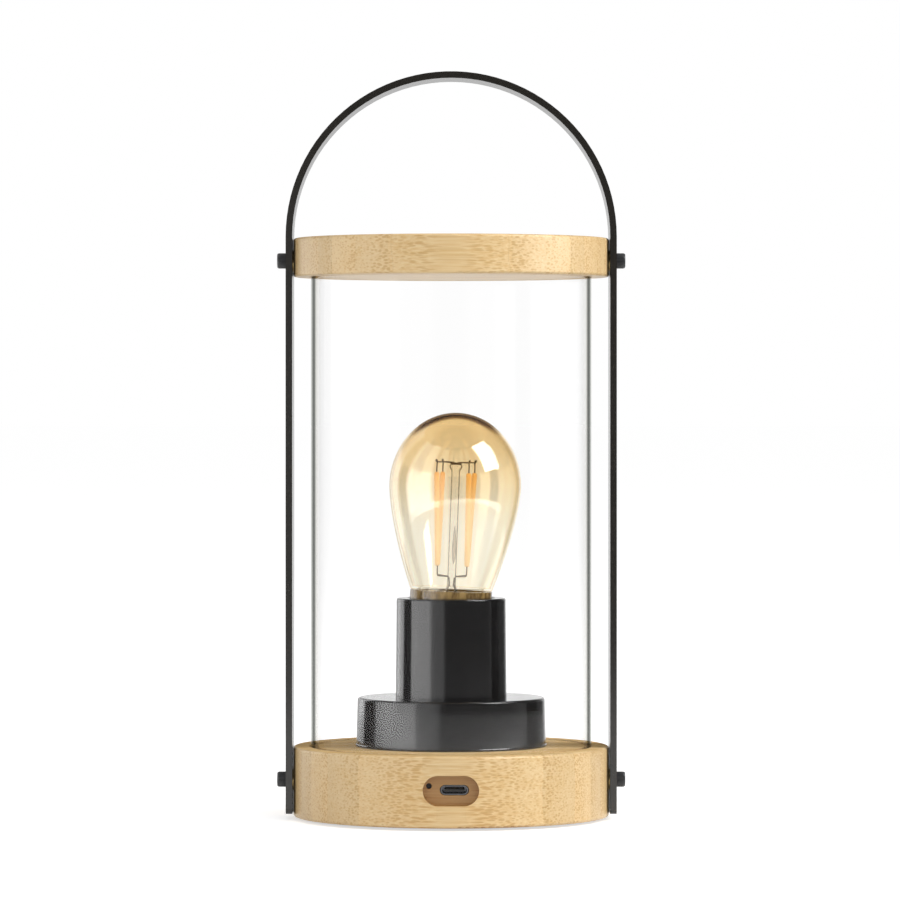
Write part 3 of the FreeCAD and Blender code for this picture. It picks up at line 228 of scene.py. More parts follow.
# --------------------------------------------------------------------------- materials
# Glue planes of the laminated block, as distances along Y in millimetres, and for each
# layer between them its tone.
BASE_PLANES = (-54.8, -45.7, -35.5, -27.1, -19.6, -11.6, -2.4, 6.8, 15.4, 24.6, 33.1, 42.0, 51.0)
LID_PLANES = (-51.6, -45.0, -37.3, -31.2, -23.0, -15.1, -6.6, 2.1, 10.4, 18.8, 27.3, 36.2, 45.3)
BASE_TONES = (0.98, 1.00, 0.93, 1.00, 0.93, 1.0, 0.93, 1.03, 0.97, 1.05, 0.92, 1.0, 1.04, 0.96)
LID_TONES = (1.01, 0.97, 1.00, 0.90, 0.96, 0.97, 1.04, 0.93, 1.0, 1.05, 0.95, 1.02, 0.92, 1.0)
WOOD_SPAN = 56.0


def layer_stops(planes, tones):
    """Ramp stops over Y: one flat tone for each layer."""
    edges = [0.0] + [(p + WOOD_SPAN) / (2 * WOOD_SPAN) for p in planes]
    return [(edge, tone / 2) for edge, tone in zip(edges, tones)]


def sawtooth_stops(planes):
    """Ramp stops over Y: from 0 at one glue plane up to 1 at the next."""
    edges = [0.0] + [(p + WOOD_SPAN) / (2 * WOOD_SPAN) for p in planes] + [1.0]
    stops = []
    for low, high in zip(edges, edges[1:]):
        stops += [(low, 0.0), (high - 1e-4, 1.0)]
    return stops


def bamboo(name, planes, tones, darker_recess):
    """Laminated bamboo: layers along Y, fibres along X, darker inside the port's recess."""
    s = Shader(name)
    place = s.place()
    x, y, z = s.split(place)
    wander = s.noise(s.scaled(place, 6.0, 60.0, 60.0), 1.0, 2.0)
    shifted = s.math("ADD", y, s.range(wander, 0.3, 0.7, -0.5 * MM, 0.5 * MM))
    across = s.range(shifted, -WOOD_SPAN * MM, WOOD_SPAN * MM)
    tone = s.math("MULTIPLY", s.ramp(across, layer_stops(planes, tones), "CONSTANT"), 2.0)
    depth = s.ramp(across, sawtooth_stops(planes))

    # fibre bundles: dots on a cross cut, long streaks along the fibre
    bent = s.noise(s.scaled(place, 14.0, 30.0, 30.0), 1.0, 2.0)
    drift = s.range(bent, 0.3, 0.7, -0.4 * MM, 0.4 * MM)
    fibre = s.join(s.math("MULTIPLY", x, 0.022), s.math("ADD", y, drift), s.math("ADD", z, drift))
    cells = s.voronoi(fibre, 1 / (0.78 * MM), 0.85)
    size = s.range(depth, 0.0, 1.0, 0.50, 0.33)
    patchy = s.noise(s.scaled(place, 20.0, 420.0, 420.0), 1.0, 2.0)
    reach = s.math("MULTIPLY", size, s.range(patchy, 0.3, 0.7, 0.82, 1.15))
    inside = s.math("SUBTRACT", reach, cells["Distance"])
    bundle = s.range(inside, -0.10, 0.18, 0.0, 1.0, smooth=True)

    streak = s.noise(s.scaled(place, 26.0, 1500.0, 1500.0), 1.0, 4.0, 0.6)
    broad = s.noise(s.scaled(place, 7.0, 160.0, 160.0), 1.0, 3.0)
    pale, honey, deep = (0.835, 0.630, 0.335), (0.715, 0.460, 0.190), (0.530, 0.275, 0.070)
    ground = s.mix(s.range(streak, 0.32, 0.68), honey, pale)
    ground = s.mix(s.math("MULTIPLY", s.range(broad, 0.35, 0.7), 0.35), ground, (0.86, 0.67, 0.40))
    strength = s.range(depth, 0.0, 1.0, 0.62, 0.34)
    oblique = s.range(s.math("ABSOLUTE", x), 3 * MM, 11 * MM, 0.40, 1.0, smooth=True)
    bundle = s.math("MULTIPLY", bundle, oblique)
    colour = s.mix(s.math("MULTIPLY", bundle, strength), ground, deep)
    glue = s.math("ABSOLUTE", s.math("SUBTRACT", depth, 0.5))
    seam = s.range(glue, 0.485, 0.499, 0.0, 0.55)
    colour = s.mix(seam, colour, (0.36, 0.19, 0.075))
    toned = s.mix(1.0, colour, s.join(tone, tone, tone), "MULTIPLY")
    if darker_recess:
        skin = 0.16
        within = s.math("LESS_THAN", s.from_axis(x, y), (BASE_RADIUS - skin) * MM)
        within = s.math("MULTIPLY", within, s.math("LESS_THAN", y, -RECESS_BEHIND * MM))
        low = s.math("GREATER_THAN", z, (WOOD_BOTTOM + 0.05) * MM)
        high = s.math("LESS_THAN", z, RECESS_ABOVE * MM)
        inner = s.math("MULTIPLY", within, s.math("MULTIPLY", low, high))
        # inside the port's recess the colour is multiplied darker, walls and floor alike
        recess_darkened = s.mix(1.0, toned, (0.62, 0.50, 0.38), "MULTIPLY")
        toned = s.mix(inner, toned, recess_darkened)
    s.set(Base_Color=toned)
    s.set(Roughness=s.range(streak, 0.3, 0.7, 0.36, 0.50))
    top = s.upward()  # the flat tops are sanded matt, the turned sides have a thin varnish
    s.set(Specular_IOR_Level=s.range(top, 0.0, 1.0, 0.45, 0.0))
    s.set(Coat_Weight=s.range(top, 0.0, 1.0, 0.16, 0.0), Coat_Roughness=0.20)
    pores = s.math("SUBTRACT", s.math("MULTIPLY", streak, 0.6), s.math("MULTIPLY", bundle, 0.5))
    s.set(Normal=s.bump(pores, 0.05 * MM, 0.6))
    return s.material


def see_through(name, clear, edge, start, full, gloss, least=0.035, most=0.85, roughness=0.02):
    """Thin glass: light passes straight on, tinted at glancing angles, plus reflections."""
    s = Shader(name)
    s.tree.nodes.remove(s.main)
    facing = s.facing()
    tint = s.ramp(facing, [(0.0, clear), (start, clear), (full, edge), (1.0, edge)])
    through = s.add("ShaderNodeBsdfTransparent")
    s.link(tint, through.inputs["Color"])
    shine = s.add("ShaderNodeBsdfGlossy")
    shine.inputs["Roughness"].default_value = roughness
    shine.inputs["Color"].default_value = (*gloss, 1.0)
    glancing = s.math("POWER", facing, 5.0)
    share = s.range(glancing, 0.0, 1.0, least, most)
    mixed = s.add("ShaderNodeMixShader")
    s.link(share, mixed.inputs[0])
    s.link(through.outputs[0], mixed.inputs[1])
    s.link(shine.outputs[0], mixed.inputs[2])
    s.link(mixed.outputs[0], s.output.inputs["Surface"])
    return s, through, mixed


def tube_glass():
    """Clear cylinder: a grey-green line where the wall is seen edge-on, faint grey inside it, painted
    refraction of darker surroundings with a trace of the glass's own green.
    """
    clear = (1.0, 1.0, 1.0)
    s, through, _ = see_through("clear_glass", clear, clear, 0.5, 0.9, (1.0, 1.0, 1.0), 0.006, 0.30)
    x, y, _ = s.split(s.place())
    outside = s.math("GREATER_THAN", s.from_axis(x, y), GLASS_MIDDLE * MM)
    # painted refraction: this tint darkens the edge-on wall as bent views of darker surroundings would,
    # plus a little green of the glass itself
    edge = s.ramp(s.facing(), [
        (0.0, clear), (0.60, clear), (0.665, (0.975, 0.974, 0.970)), (0.71, (0.925, 0.922, 0.910)),
        (0.734, (0.83, 0.83, 0.81)), (0.761, (0.54, 0.545, 0.53)), (0.79, (0.38, 0.39, 0.375)),
        (0.831, (0.48, 0.49, 0.475)), (0.87, (0.66, 0.67, 0.65)), (0.94, (0.88, 0.88, 0.87)),
        (1.0, clear),
    ])
    s.link(s.mix(outside, clear, edge), through.inputs["Color"])
    return s.material


def amber_glass():
    """Gold-coated bulb glass: deep at the crown, paler below, brown at its very top."""
    pale, gold, brown = (0.985, 0.966, 0.908), (0.967, 0.883, 0.722), (0.46, 0.36, 0.25)
    s, through, mixed = see_through("amber_glass", pale, pale, 0.5, 0.9, (1.0, 0.98, 0.94), 0.075)
    height = s.split(s.place())[2]
    pale_below, deep_above, crown_low, crown_high = 0.098, 0.138, 0.1340, 0.1380
    fade = s.range(height, pale_below, deep_above, 0.0, 1.0, smooth=True)
    body = s.mix(fade, pale, gold)
    facing = s.facing()
    rim = s.ramp(facing, [(0.0, 0.0), (0.55, 0.0), (0.86, 0.35), (1.0, 0.75)])
    body = s.mix(rim, body, (0.80, 0.66, 0.40))
    crown = s.math("MULTIPLY", s.range(height, crown_low, crown_high), s.range(facing, 0.60, 0.69))
    body = s.mix(crown, body, brown)
    s.link(body, through.inputs["Color"])
    share = mixed.inputs[0].links[0].from_socket
    s.link(s.math("MULTIPLY", share, s.range(crown, 0.0, 1.0, 1.0, 0.2)), mixed.inputs[0])
    return s.material


def mount_glass():
    """Glass of the stem: clear square on, brown along its edges, where refraction of darker
    surroundings is painted into the tint.
    """
    # edge: painted refraction along the rod's edges
    clear, edge, white = (0.985, 0.975, 0.965), (0.30, 0.25, 0.19), (1.0, 1.0, 1.0)
    return see_through("mount_glass", clear, edge, 0.30, 0.62, white)[0].material


def bubble_glass():
    """Trapped air in the stem, its dimness and grey edges painted refraction."""
    clear, edge, grey = (0.80, 0.77, 0.75), (0.45, 0.40, 0.36), (0.7, 0.7, 0.7)
    return see_through("stem_bubble", clear, edge, 0.2, 0.9, grey)[0].material


def brushed(name, colour, roughness, along, scale=0.15, metallic=1.0):
    """Metal with a drawn or turned grain that runs along one axis."""
    s = Shader(name)
    place = s.place()
    stretch = [1 / (scale * MM)] * 3
    stretch["xyz".index(along)] /= 40
    grain = s.noise(s.scaled(place, *stretch), 1.0, 3.0)
    blotch = s.noise(place, 1 / (6 * MM), 2.0)
    dark = tuple(c * 0.82 for c in colour)
    s.set(Base_Color=s.mix(blotch, dark, colour), Metallic=metallic)
    s.set(Roughness=s.range(grain, 0.3, 0.7, roughness - 0.06, roughness + 0.08))
    s.set(Normal=s.bump(grain, 0.01 * MM, 0.6))
    return s.material


def gloss_black():
    """Polished black moulding with faint sink and flow marks."""
    s = Shader("holder_gloss_black")
    place = s.place()
    flow = s.noise(s.scaled(place, 60.0, 60.0, 25.0), 1.0, 2.0)
    dust = s.noise(place, 1 / (0.5 * MM), 3.0, 0.7)
    s.set(Base_Color=s.mix(flow, (0.0075, 0.0075, 0.008), (0.013, 0.012, 0.012)))
    s.set(Roughness=s.range(dust, 0.35, 0.75, 0.10, 0.17), Specular_IOR_Level=0.55)
    wave = s.bump(flow, 0.12 * MM, 0.35)
    s.set(Normal=s.bump(dust, 0.004 * MM, 0.4, wave))
    return s.material


def powder_coat():
    """Matt black powder coat: orange-peel bumps and slightly paler colour on their highs."""
    s = Shader("black_powder_coat")
    place = s.place()
    peel = s.noise(place, 1 / (0.38 * MM), 3.0, 0.6)
    cloud = s.noise(place, 1 / (15 * MM), 2.0)
    tone = s.mix(cloud, (0.016, 0.0145, 0.012), (0.022, 0.020, 0.017))
    s.set(Base_Color=s.mix(s.range(peel, 0.55, 0.8, 0.0, 0.5), tone, (0.05, 0.046, 0.041)))
    top = s.upward()
    s.set(Roughness=s.range(peel, 0.3, 0.7, 0.18, 0.26))
    s.set(Specular_IOR_Level=s.range(top, 0.0, 1.0, 0.5, 0.15))
    s.set(Coat_Weight=s.range(top, 0.0, 1.0, 0.15, 0.0), Coat_Roughness=0.12)
    s.set(Normal=s.bump(peel, 0.012 * MM, 0.5))
    return s.material


def collar_lacquer():
    """Gold-brown lacquered ring, mottled along its rim, dark where it enters the holder."""
    s = Shader("collar_lacquer")
    place = s.place()
    mottle = s.noise(s.scaled(place, 420.0, 420.0, 160.0), 1.0, 3.0, 0.6)
    height = s.split(place)[2]
    gold = s.mix(s.range(mottle, 0.35, 0.65), (0.085, 0.045, 0.014), (0.42, 0.27, 0.09))
    dark = s.range(height, (COLLAR_TOP - 2.9) * MM, (COLLAR_TOP - 2.1) * MM, 1.0, 0.0)
    s.set(Base_Color=s.mix(dark, gold, (0.013, 0.012, 0.011)))
    s.set(Roughness=s.range(mottle, 0.3, 0.7, 0.14, 0.26), Specular_IOR_Level=0.6)
    s.set(Normal=s.bump(mottle, 0.05 * MM, 0.5))
    return s.material


def phosphor():
    """Silicone-coated light-emitting rod: peach at rest, with a soft painted glow of its own though it
    is switched off.
    """
    s = Shader("led_phosphor")
    place = s.place()
    height = s.split(place)[2]
    lumps = s.noise(place, 1 / (0.8 * MM), 3.0)
    upper = s.range(height, 0.108, 0.121, 0.0, 1.0, smooth=True)
    tone = s.mix(upper, (0.93, 0.62, 0.30), (0.95, 0.50, 0.11))
    s.set(Base_Color=s.mix(s.math("MULTIPLY", lumps, 0.5), tone, (0.97, 0.74, 0.44)))
    s.set(Roughness=s.range(lumps, 0.3, 0.7, 0.42, 0.55))
    # painted glow: emission on a rod that is switched off
    s.set(Emission_Color=s.mix(upper, (0.98, 0.66, 0.36), (1.0, 0.52, 0.12)), Emission_Strength=0.35)
    s.main.inputs["Subsurface Weight"].default_value = 0.15
    s.main.inputs["Subsurface Radius"].default_value = (1 * MM, 0.6 * MM, 0.3 * MM)
    s.set(Normal=s.bump(lumps, 0.03 * MM, 0.6))
    return s.material


def circuit_green():
    s = Shader("board_green")
    place = s.place()
    tracks = s.add("ShaderNodeTexBrick")
    s.link(s.scaled(place, 1 / MM, 1 / MM, 1 / MM), tracks.inputs["Vector"])
    tracks.inputs["Scale"].default_value = 0.45
    tracks.inputs["Mortar Size"].default_value = 0.03
    fine = s.noise(place, 1 / (0.7 * MM), 3.0)
    s.set(Base_Color=s.mix(tracks.outputs["Fac"], (0.018, 0.115, 0.05), (0.03, 0.19, 0.085)))
    s.set(Roughness=s.range(fine, 0.3, 0.7, 0.28, 0.4))
    s.set(Normal=s.bump(tracks.outputs["Fac"], 0.02 * MM, 0.6))
    return s.material


def make_materials():
    """One material for each slot of the record, two for its bamboo, and gold and bubble."""
    return {
        "bamboo_base": bamboo("bamboo_base", BASE_PLANES, BASE_TONES, True),
        "bamboo_lid": bamboo("bamboo_lid", LID_PLANES, LID_TONES, False),
        "black_steel": powder_coat(),
        "black_screw": grained("black_oxide", (0.020, 0.020, 0.022), 0.25, 0.30, 0.5, 0.01,
                               specular=0.6).material,
        "brass": brushed("brass", (0.78, 0.57, 0.26), 0.24, "z"),
        "clear_glass": tube_glass(),
        "silicone": grained("silicone_seal", (0.80, 0.82, 0.81), 0.04, 0.55, 0.9, 0.02).material,
        "holder_black": gloss_black(),
        "core_ceramic": grained("core_ceramic", (0.80, 0.78, 0.73), 0.06, 0.62, 0.35, 0.03).material,
        "nickel": brushed("nickel", (0.72, 0.70, 0.66), 0.20, "x"),
        "steel": brushed("zinc_steel", (0.62, 0.63, 0.65), 0.30, "x"),
        "amber_glass": amber_glass(),
        "bulb_plastic": collar_lacquer(),
        "cap_glass": grained("cap_vitrite", (0.016, 0.015, 0.022), 0.3, 0.12, 1.4, 0.03).material,
        "mount_glass": mount_glass(),
        "support_wire": brushed("support_wire", (0.20, 0.155, 0.10), 0.38, "z", 0.1),
        "led_phosphor": phosphor(),
        "port_steel": brushed("port_steel", (0.13, 0.13, 0.135), 0.24, "y"),
        "port_black": grained("port_black", (0.012, 0.012, 0.012), 0.2, 0.42, 0.3, 0.02).material,
        "led_lens": grained("led_lens", (0.010, 0.008, 0.006), 0.2, 0.30, 0.8, 0.01,
                            specular=0.25).material,
        "board_green": circuit_green(),
        "cell_wrap": grained("cell_wrap", (0.50, 0.53, 0.57), 0.12, 0.24, 3.0, 0.12,
                             metallic=0.7).material,
        "foam": grained("foam", (0.10, 0.10, 0.10), 0.2, 0.85, 0.35, 0.2).material,
        "plug_white": grained("plug_white", (0.80, 0.79, 0.73), 0.04, 0.44, 0.5, 0.02).material,
        "wire_cover": grained("wire_cover", (0.42, 0.028, 0.02), 0.15, 0.4, 0.6, 0.02).material,
        "cover_black": grained("cover_texture", (0.024, 0.024, 0.026), 0.15, 0.58, 0.35, 0.05).material,
        "foot_rubber": grained("foot_rubber", (0.038, 0.038, 0.038), 0.15, 0.72, 0.6, 0.04).material,
        "button_grey": grained("button_grey", (0.13, 0.13, 0.135), 0.1, 0.38, 0.5, 0.02).material,
        "gold": brushed("contact_gold", (0.90, 0.66, 0.28), 0.18, "y"),
        "stem_bubble": bubble_glass(),
    }


def slot_of_nodes():
    """Node name to the record's material slot."""
    return {row["node"]: row["material_slot"] for row in frame["record"]["subparts"]}


def dress_nodes(materials):
    """Gives each CAD node its material."""
    for name, slot in slot_of_nodes().items():
        mesh = NODES[name].data
        if slot == "bamboo":
            slot = "bamboo_lid" if name == "top_disc" else "bamboo_base"
        mesh.materials.clear()
        mesh.materials.append(materials[slot])


# ------------------------------------------------------------------------ mesh helpers
class Piece:
    """Collects the vertices and faces of one mesh object."""

    def __init__(self, name):
        self.name = name
        self.verts = []
        self.faces = []
        self.slots = []

    def add(self, verts, faces, matrix=None, slot=0):
        start = len(self.verts)
        matrix = matrix or Matrix.Identity(4)
        self.verts += [matrix @ Vector(v) for v in verts]
        self.faces += [tuple(start + i for i in face) for face in faces]
        self.slots += [slot] * len(faces)

    def lathe(self, profile, steps, matrix=None, slot=0, closed=True):
        """Turns (radius, height) points round Z; points on the axis close it."""
        verts, rings = [], []
        for radius, height in profile:
            if radius < 1e-6:
                rings.append([len(verts)])
                verts.append((0.0, 0.0, height))
                continue
            rings.append(list(range(len(verts), len(verts) + steps)))
            for k in range(steps):
                angle = TAU * k / steps
                verts.append((radius * math.cos(angle), radius * math.sin(angle), height))
        faces = []
        for low, high in zip(rings, rings[1:] + (rings[:1] if closed else [])):
            for k in range(steps):
                n = (k + 1) % steps
                if len(low) == 1 and len(high) == 1:
                    continue
                if len(low) == 1:
                    faces.append((low[0], high[n], high[k]))
                elif len(high) == 1:
                    faces.append((low[k], low[n], high[0]))
                else:
                    faces.append((low[k], low[n], high[n], high[k]))
        self.add(verts, faces, matrix, slot)

    def tube(self, points, radius, steps=10, matrix=None, slot=0):
        """A round wire through points, with capped ends; radius may vary per point."""
        points = [Vector(p) for p in points]
        radii = radius if isinstance(radius, (list, tuple)) else [radius] * len(points)
        side = None
        verts, faces = [], []
        for i, point in enumerate(points):
            ahead = points[min(i + 1, len(points) - 1)] - points[max(i - 1, 0)]
            ahead.normalize()
            if side is None:
                side = ahead.orthogonal().normalized()
            side = (side - ahead * side.dot(ahead)).normalized()
            other = ahead.cross(side)
            for k in range(steps):
                angle = TAU * k / steps
                verts.append(point + (side * math.cos(angle) + other * math.sin(angle)) * radii[i])
        for i in range(len(points) - 1):
            for k in range(steps):
                n = (k + 1) % steps
                a, b = i * steps, (i + 1) * steps
                faces.append((a + k, a + n, b + n, b + k))
        faces.append(tuple(reversed(range(steps))))
        last = (len(points) - 1) * steps
        faces.append(tuple(range(last, last + steps)))
        self.add(verts, faces, matrix, slot)

    def box(self, low, high, chamfer, matrix=None, slot=0):
        """A block with chamfered edges."""
        bm = bmesh.new()
        bmesh.ops.create_cube(bm, size=1.0)
        low, high = Vector(low), Vector(high)
        for vert in bm.verts:
            vert.co = Vector(
                lo + (c + 0.5) * (hi - lo) for lo, hi, c in zip(low, high, vert.co)
            )
        bmesh.ops.bevel(bm, geom=bm.edges[:], offset=chamfer, segments=2, affect="EDGES", profile=0.5)
        bm.verts.index_update()
        verts = [v.co.copy() for v in bm.verts]
        faces = [[v.index for v in f.verts] for f in bm.faces]
        bm.free()
        self.add(verts, faces, matrix, slot)

    def finish(self, materials, body, smooth_angle=35.0):
        mesh = bpy.data.meshes.new(self.name)
        mesh.from_pydata([v[:] for v in self.verts], [], self.faces)
        bm = bmesh.new()
        bm.from_mesh(mesh)
        bmesh.ops.recalc_face_normals(bm, faces=bm.faces)
        bm.to_mesh(mesh)
        bm.free()
        for material in materials:
            mesh.materials.append(material)
        for polygon, slot in zip(mesh.polygons, self.slots):
            polygon.material_index = slot
        mesh.shade_smooth()
        mesh.set_sharp_from_angle(angle=math.radians(smooth_angle))
        piece = bpy.data.objects.new(self.name, mesh)
        SCENE.collection.objects.link(piece)
        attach(piece, body)
        return piece


def scaled_to_metres(matrix):
    return matrix @ Matrix.Scale(MM, 4)


def at(x, y, z):
    """Placement in millimetres of a part that is itself written in millimetres."""
    return scaled_to_metres(Matrix.Translation(Vector((x, y, z)) * MM))


def leaning():
    """Frame of the bulb: millimetres from the top of its collar, along its own axis."""
    place = Matrix.Translation((0, 0, COLLAR_TOP * MM))
    return scaled_to_metres(place @ Matrix.Rotation(BULB_LEAN, 4, "Y"))


# ------------------------------------------------------------------------------ pieces
def strap_screw_heads(materials):
    """Socket heads with a knurled side, a chamfer and a hexagon socket."""
    head_radius, head_height, socket, socket_depth = 2.7, 3.3, 1.44, 1.6
    ridges, groove = 36, 0.11
    piece = Piece("strap_screw_heads")
    for side in (1, -1):
        for height in SCREW_HEIGHTS:
            turn = Matrix.Rotation(side * math.pi / 2, 4, "Y")
            place = Matrix.Translation(Vector((side * STRAP_OUTER, 0, height)) * MM) @ turn
            matrix = scaled_to_metres(place)
            verts, faces, steps = [], [], ridges * 4
            rings = (
                (head_radius - 0.12, 0.0, 0.0), (head_radius, 0.15, 1.0), (head_radius, 2.45, 1.0),
                (head_radius - 0.02, 2.75, 0.15), (head_radius - 0.14, 3.08, 0.0),
                (head_radius - 0.45, head_height, 0.0), (socket + 0.16, head_height, 0.0),
            )
            for radius, level, knurl in rings:
                for k in range(steps):
                    angle = TAU * k / steps
                    cut = groove * knurl * (0.5 - 0.5 * math.cos(TAU * k / 4))
                    reach = radius - cut
                    verts.append((reach * math.cos(angle), reach * math.sin(angle), level))
            for ring in range(len(rings) - 1):
                for k in range(steps):
                    n = (k + 1) % steps
                    a, b = ring * steps, (ring + 1) * steps
                    faces.append((a + k, a + n, b + n, b + k))
            rim = (len(rings) - 1) * steps
            floor_level = head_height - socket_depth
            start = len(verts)
            for level, grow in ((head_height - 0.14, 0.0), (floor_level, 0.0)):
                for k in range(steps):
                    angle = TAU * k / steps
                    within = (angle + math.pi / 6) % (math.pi / 3) - math.pi / 6
                    flat = socket * math.cos(math.pi / 6)
                    radius = flat / math.cos(math.pi / 6 - abs(within)) + grow
                    verts.append((radius * math.cos(angle), radius * math.sin(angle), level))
            for k in range(steps):
                n = (k + 1) % steps
                faces.append((rim + k, rim + n, start + n, start + k))
                faces.append((start + k, start + n, start + steps + n, start + steps + k))
            centre = len(verts)
            verts.append((0, 0, floor_level - 0.35))
            for k in range(steps):
                faces.append((start + steps + k, start + steps + (k + 1) % steps, centre))
            piece.add(verts, faces, matrix)
            shank = [(0.0, -10.0), (1.2, -10.0), (1.5, -9.7)]
            for turn_index in range(38):
                level = -9.6 + turn_index * 0.25
                shank.append((1.5 if turn_index % 2 else 1.24, level))
            shank += [(1.5, 0.0), (head_radius - 0.12, 0.0)]
            piece.lathe(shank, 24, matrix, closed=False)
    done = piece.finish([materials["black_screw"]], "lamp", 32)
    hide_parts("strap_screws")


def threaded_cap(materials):
    """E27 cap: rolled round thread, plain rim above and a cone down to the insulator."""
    bottom, pitch = 55.93, 3.629  # the rim stays 0.03 mm clear of the insulator
    length, cone, wall = 22.17, 3.0, 0.4
    crest, root = 13.1, 12.05
    start, stop = 4.4, 18.6
    steps, levels = 96, 120
    piece = Piece("bulb_cap_threaded")
    verts, faces = [], []

    def radius_at(level, angle):
        if level < cone:
            return 9.0 + (root - 9.0) * math.sin(level / cone * math.pi / 2)
        phase = ((level - start) / pitch - angle / TAU) * TAU
        wave = 0.5 + 0.5 * math.cos(phase)
        fade = min(1.0, max(0.0, (level - cone) / 2.2))
        fade *= min(1.0, max(0.0, (stop + 1.2 - level) / 1.6))
        plain = root if level < stop else root + 0.55 * min(1.0, (level - stop) / 1.5)
        return plain + (crest - root) * wave * fade * (1 if level < stop + 1.2 else 0)

    for layer in range(levels + 1):
        level = length * layer / levels
        for k in range(steps):
            angle = TAU * k / steps
            radius = radius_at(level, angle)
            verts.append((radius * math.cos(angle), radius * math.sin(angle), level))
    for layer in range(levels):
        for k in range(steps):
            n = (k + 1) % steps
            a, b = layer * steps, (layer + 1) * steps
            faces.append((a + k, a + n, b + n, b + k))
    inner = len(verts)
    for level, radius in ((length, 12.2), (cone, 11.6), (wall, 8.6), (0.0, 8.6)):
        for k in range(steps):
            angle = TAU * k / steps
            verts.append((radius * math.cos(angle), radius * math.sin(angle), level))
    loops = [levels * steps, inner, inner + steps, inner + 2 * steps, inner + 3 * steps, 0]
    for a, b in zip(loops, loops[1:]):
        for k in range(steps):
            n = (k + 1) % steps
            faces.append((a + k, a + n, b + n, b + k))
    piece.add(verts, faces, at(0, 0, bottom))
    done = piece.finish([materials["nickel"]], "bulb", 50)
    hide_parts("bulb_cap")


FILAMENT_TOP, FILAMENT_FOOT = 42.0, 8.2
FILAMENT_ANGLES = [(math.radians(34.5 + 90 * q), math.radians(45 + 90 * q)) for q in range(4)]


def filament_ends():
    """Top and foot of each filament in the bulb's own frame."""
    ends = []
    for high, low in FILAMENT_ANGLES:
        top = Vector((8.1 * math.cos(high), 8.1 * math.sin(high), FILAMENT_TOP))
        foot = Vector((7.3 * math.cos(low), 7.3 * math.sin(low), FILAMENT_FOOT))
        ends.append((top, foot))
    return ends


def filaments(materials):
    """Coated rods with rounded ends, each with a bare metal tab at both ends."""
    rods, tabs = Piece("filament_rods"), Piece("filament_tabs")
    for number, (top, foot) in enumerate(filament_ends()):
        along = (top - foot).normalized()
        length = (top - foot).length
        points, radii = [], []
        for share, radius in (
            (0.015, 0.30), (0.018, 0.62), (0.026, 0.84), (0.04, 0.93), (0.25, 0.95), (0.5, 0.93),
            (0.75, 0.95), (0.962, 0.93), (0.976, 0.84), (0.984, 0.62), (0.987, 0.30),
        ):
            points.append(foot + along * length * share)
            radii.append(radius)
        rods.tube(points, radii, 16, leaning())
        turn = along.to_track_quat("Z", "Y").to_matrix().to_4x4()
        turn = turn @ Matrix.Rotation(FILAMENT_ANGLES[number][0], 4, "Z")
        for spot, low, high in ((foot, -0.5, 1.2), (top, -1.2, 0.7)):
            matrix = leaning() @ Matrix.Translation(spot) @ turn
            tabs.box((-0.42, -0.13, low), (0.42, 0.13, high), 0.06, matrix)
    done = rods.finish([materials["led_phosphor"]], "bulb", 60)
    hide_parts("led_filaments")
    tabs.finish([materials["support_wire"]], "bulb")


def support_wires(materials):
    """Crown of four hooked wires on the stem's button, and the lower cross of leads."""
    crown, cross, wire = 45.0, 5.0, 0.24
    piece = Piece("filament_wires")
    for top, foot in filament_ends():
        out = Vector((top.x, top.y, 0)).normalized()
        reach = Vector((top.x, top.y, 0)).length
        up = Vector((0, 0, 1))
        path = [out * 0.4 + up * (crown - 0.3), out * 1.6 + up * (crown + 0.05)]
        path += [out * reach * 0.6 + up * (crown + 0.12), out * (reach + 0.15) + up * (crown + 0.12)]
        path += [out * (reach + 0.55) + up * (crown + 0.5), out * (reach + 0.40) + up * (crown + 0.95)]
        path += [out * (reach + 0.05) + up * (crown + 0.8), out * (reach - 0.1) + up * (crown + 0.2)]
        path += [out * reach + up * (crown - 1.4), Vector((top.x, top.y, FILAMENT_TOP - 0.6))]
        piece.tube(path, wire, 8, leaning())
        out = Vector((foot.x, foot.y, 0)).normalized()
        reach = Vector((foot.x, foot.y, 0)).length
        path = [out * 0.9 + up * (cross - 3.5), out * 1.4 + up * (cross - 1.0), out * 1.9 + up * cross]
        path += [out * reach * 0.6 + up * (cross + 0.15), out * (reach - 0.3) + up * (cross + 0.3)]
        path += [out * reach + up * (cross + 0.9), Vector((foot.x, foot.y, FILAMENT_FOOT + 0.6))]
        piece.tube(path, wire, 8, leaning())
    button = [(0.0, crown - 0.5), (1.95, crown - 0.5), (2.1, crown - 0.25), (1.95, crown), (0.0, crown)]
    piece.lathe(button, 24, leaning(), closed=False)
    done = piece.finish([materials["support_wire"]], "bulb", 50)
    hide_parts("filament_frame")


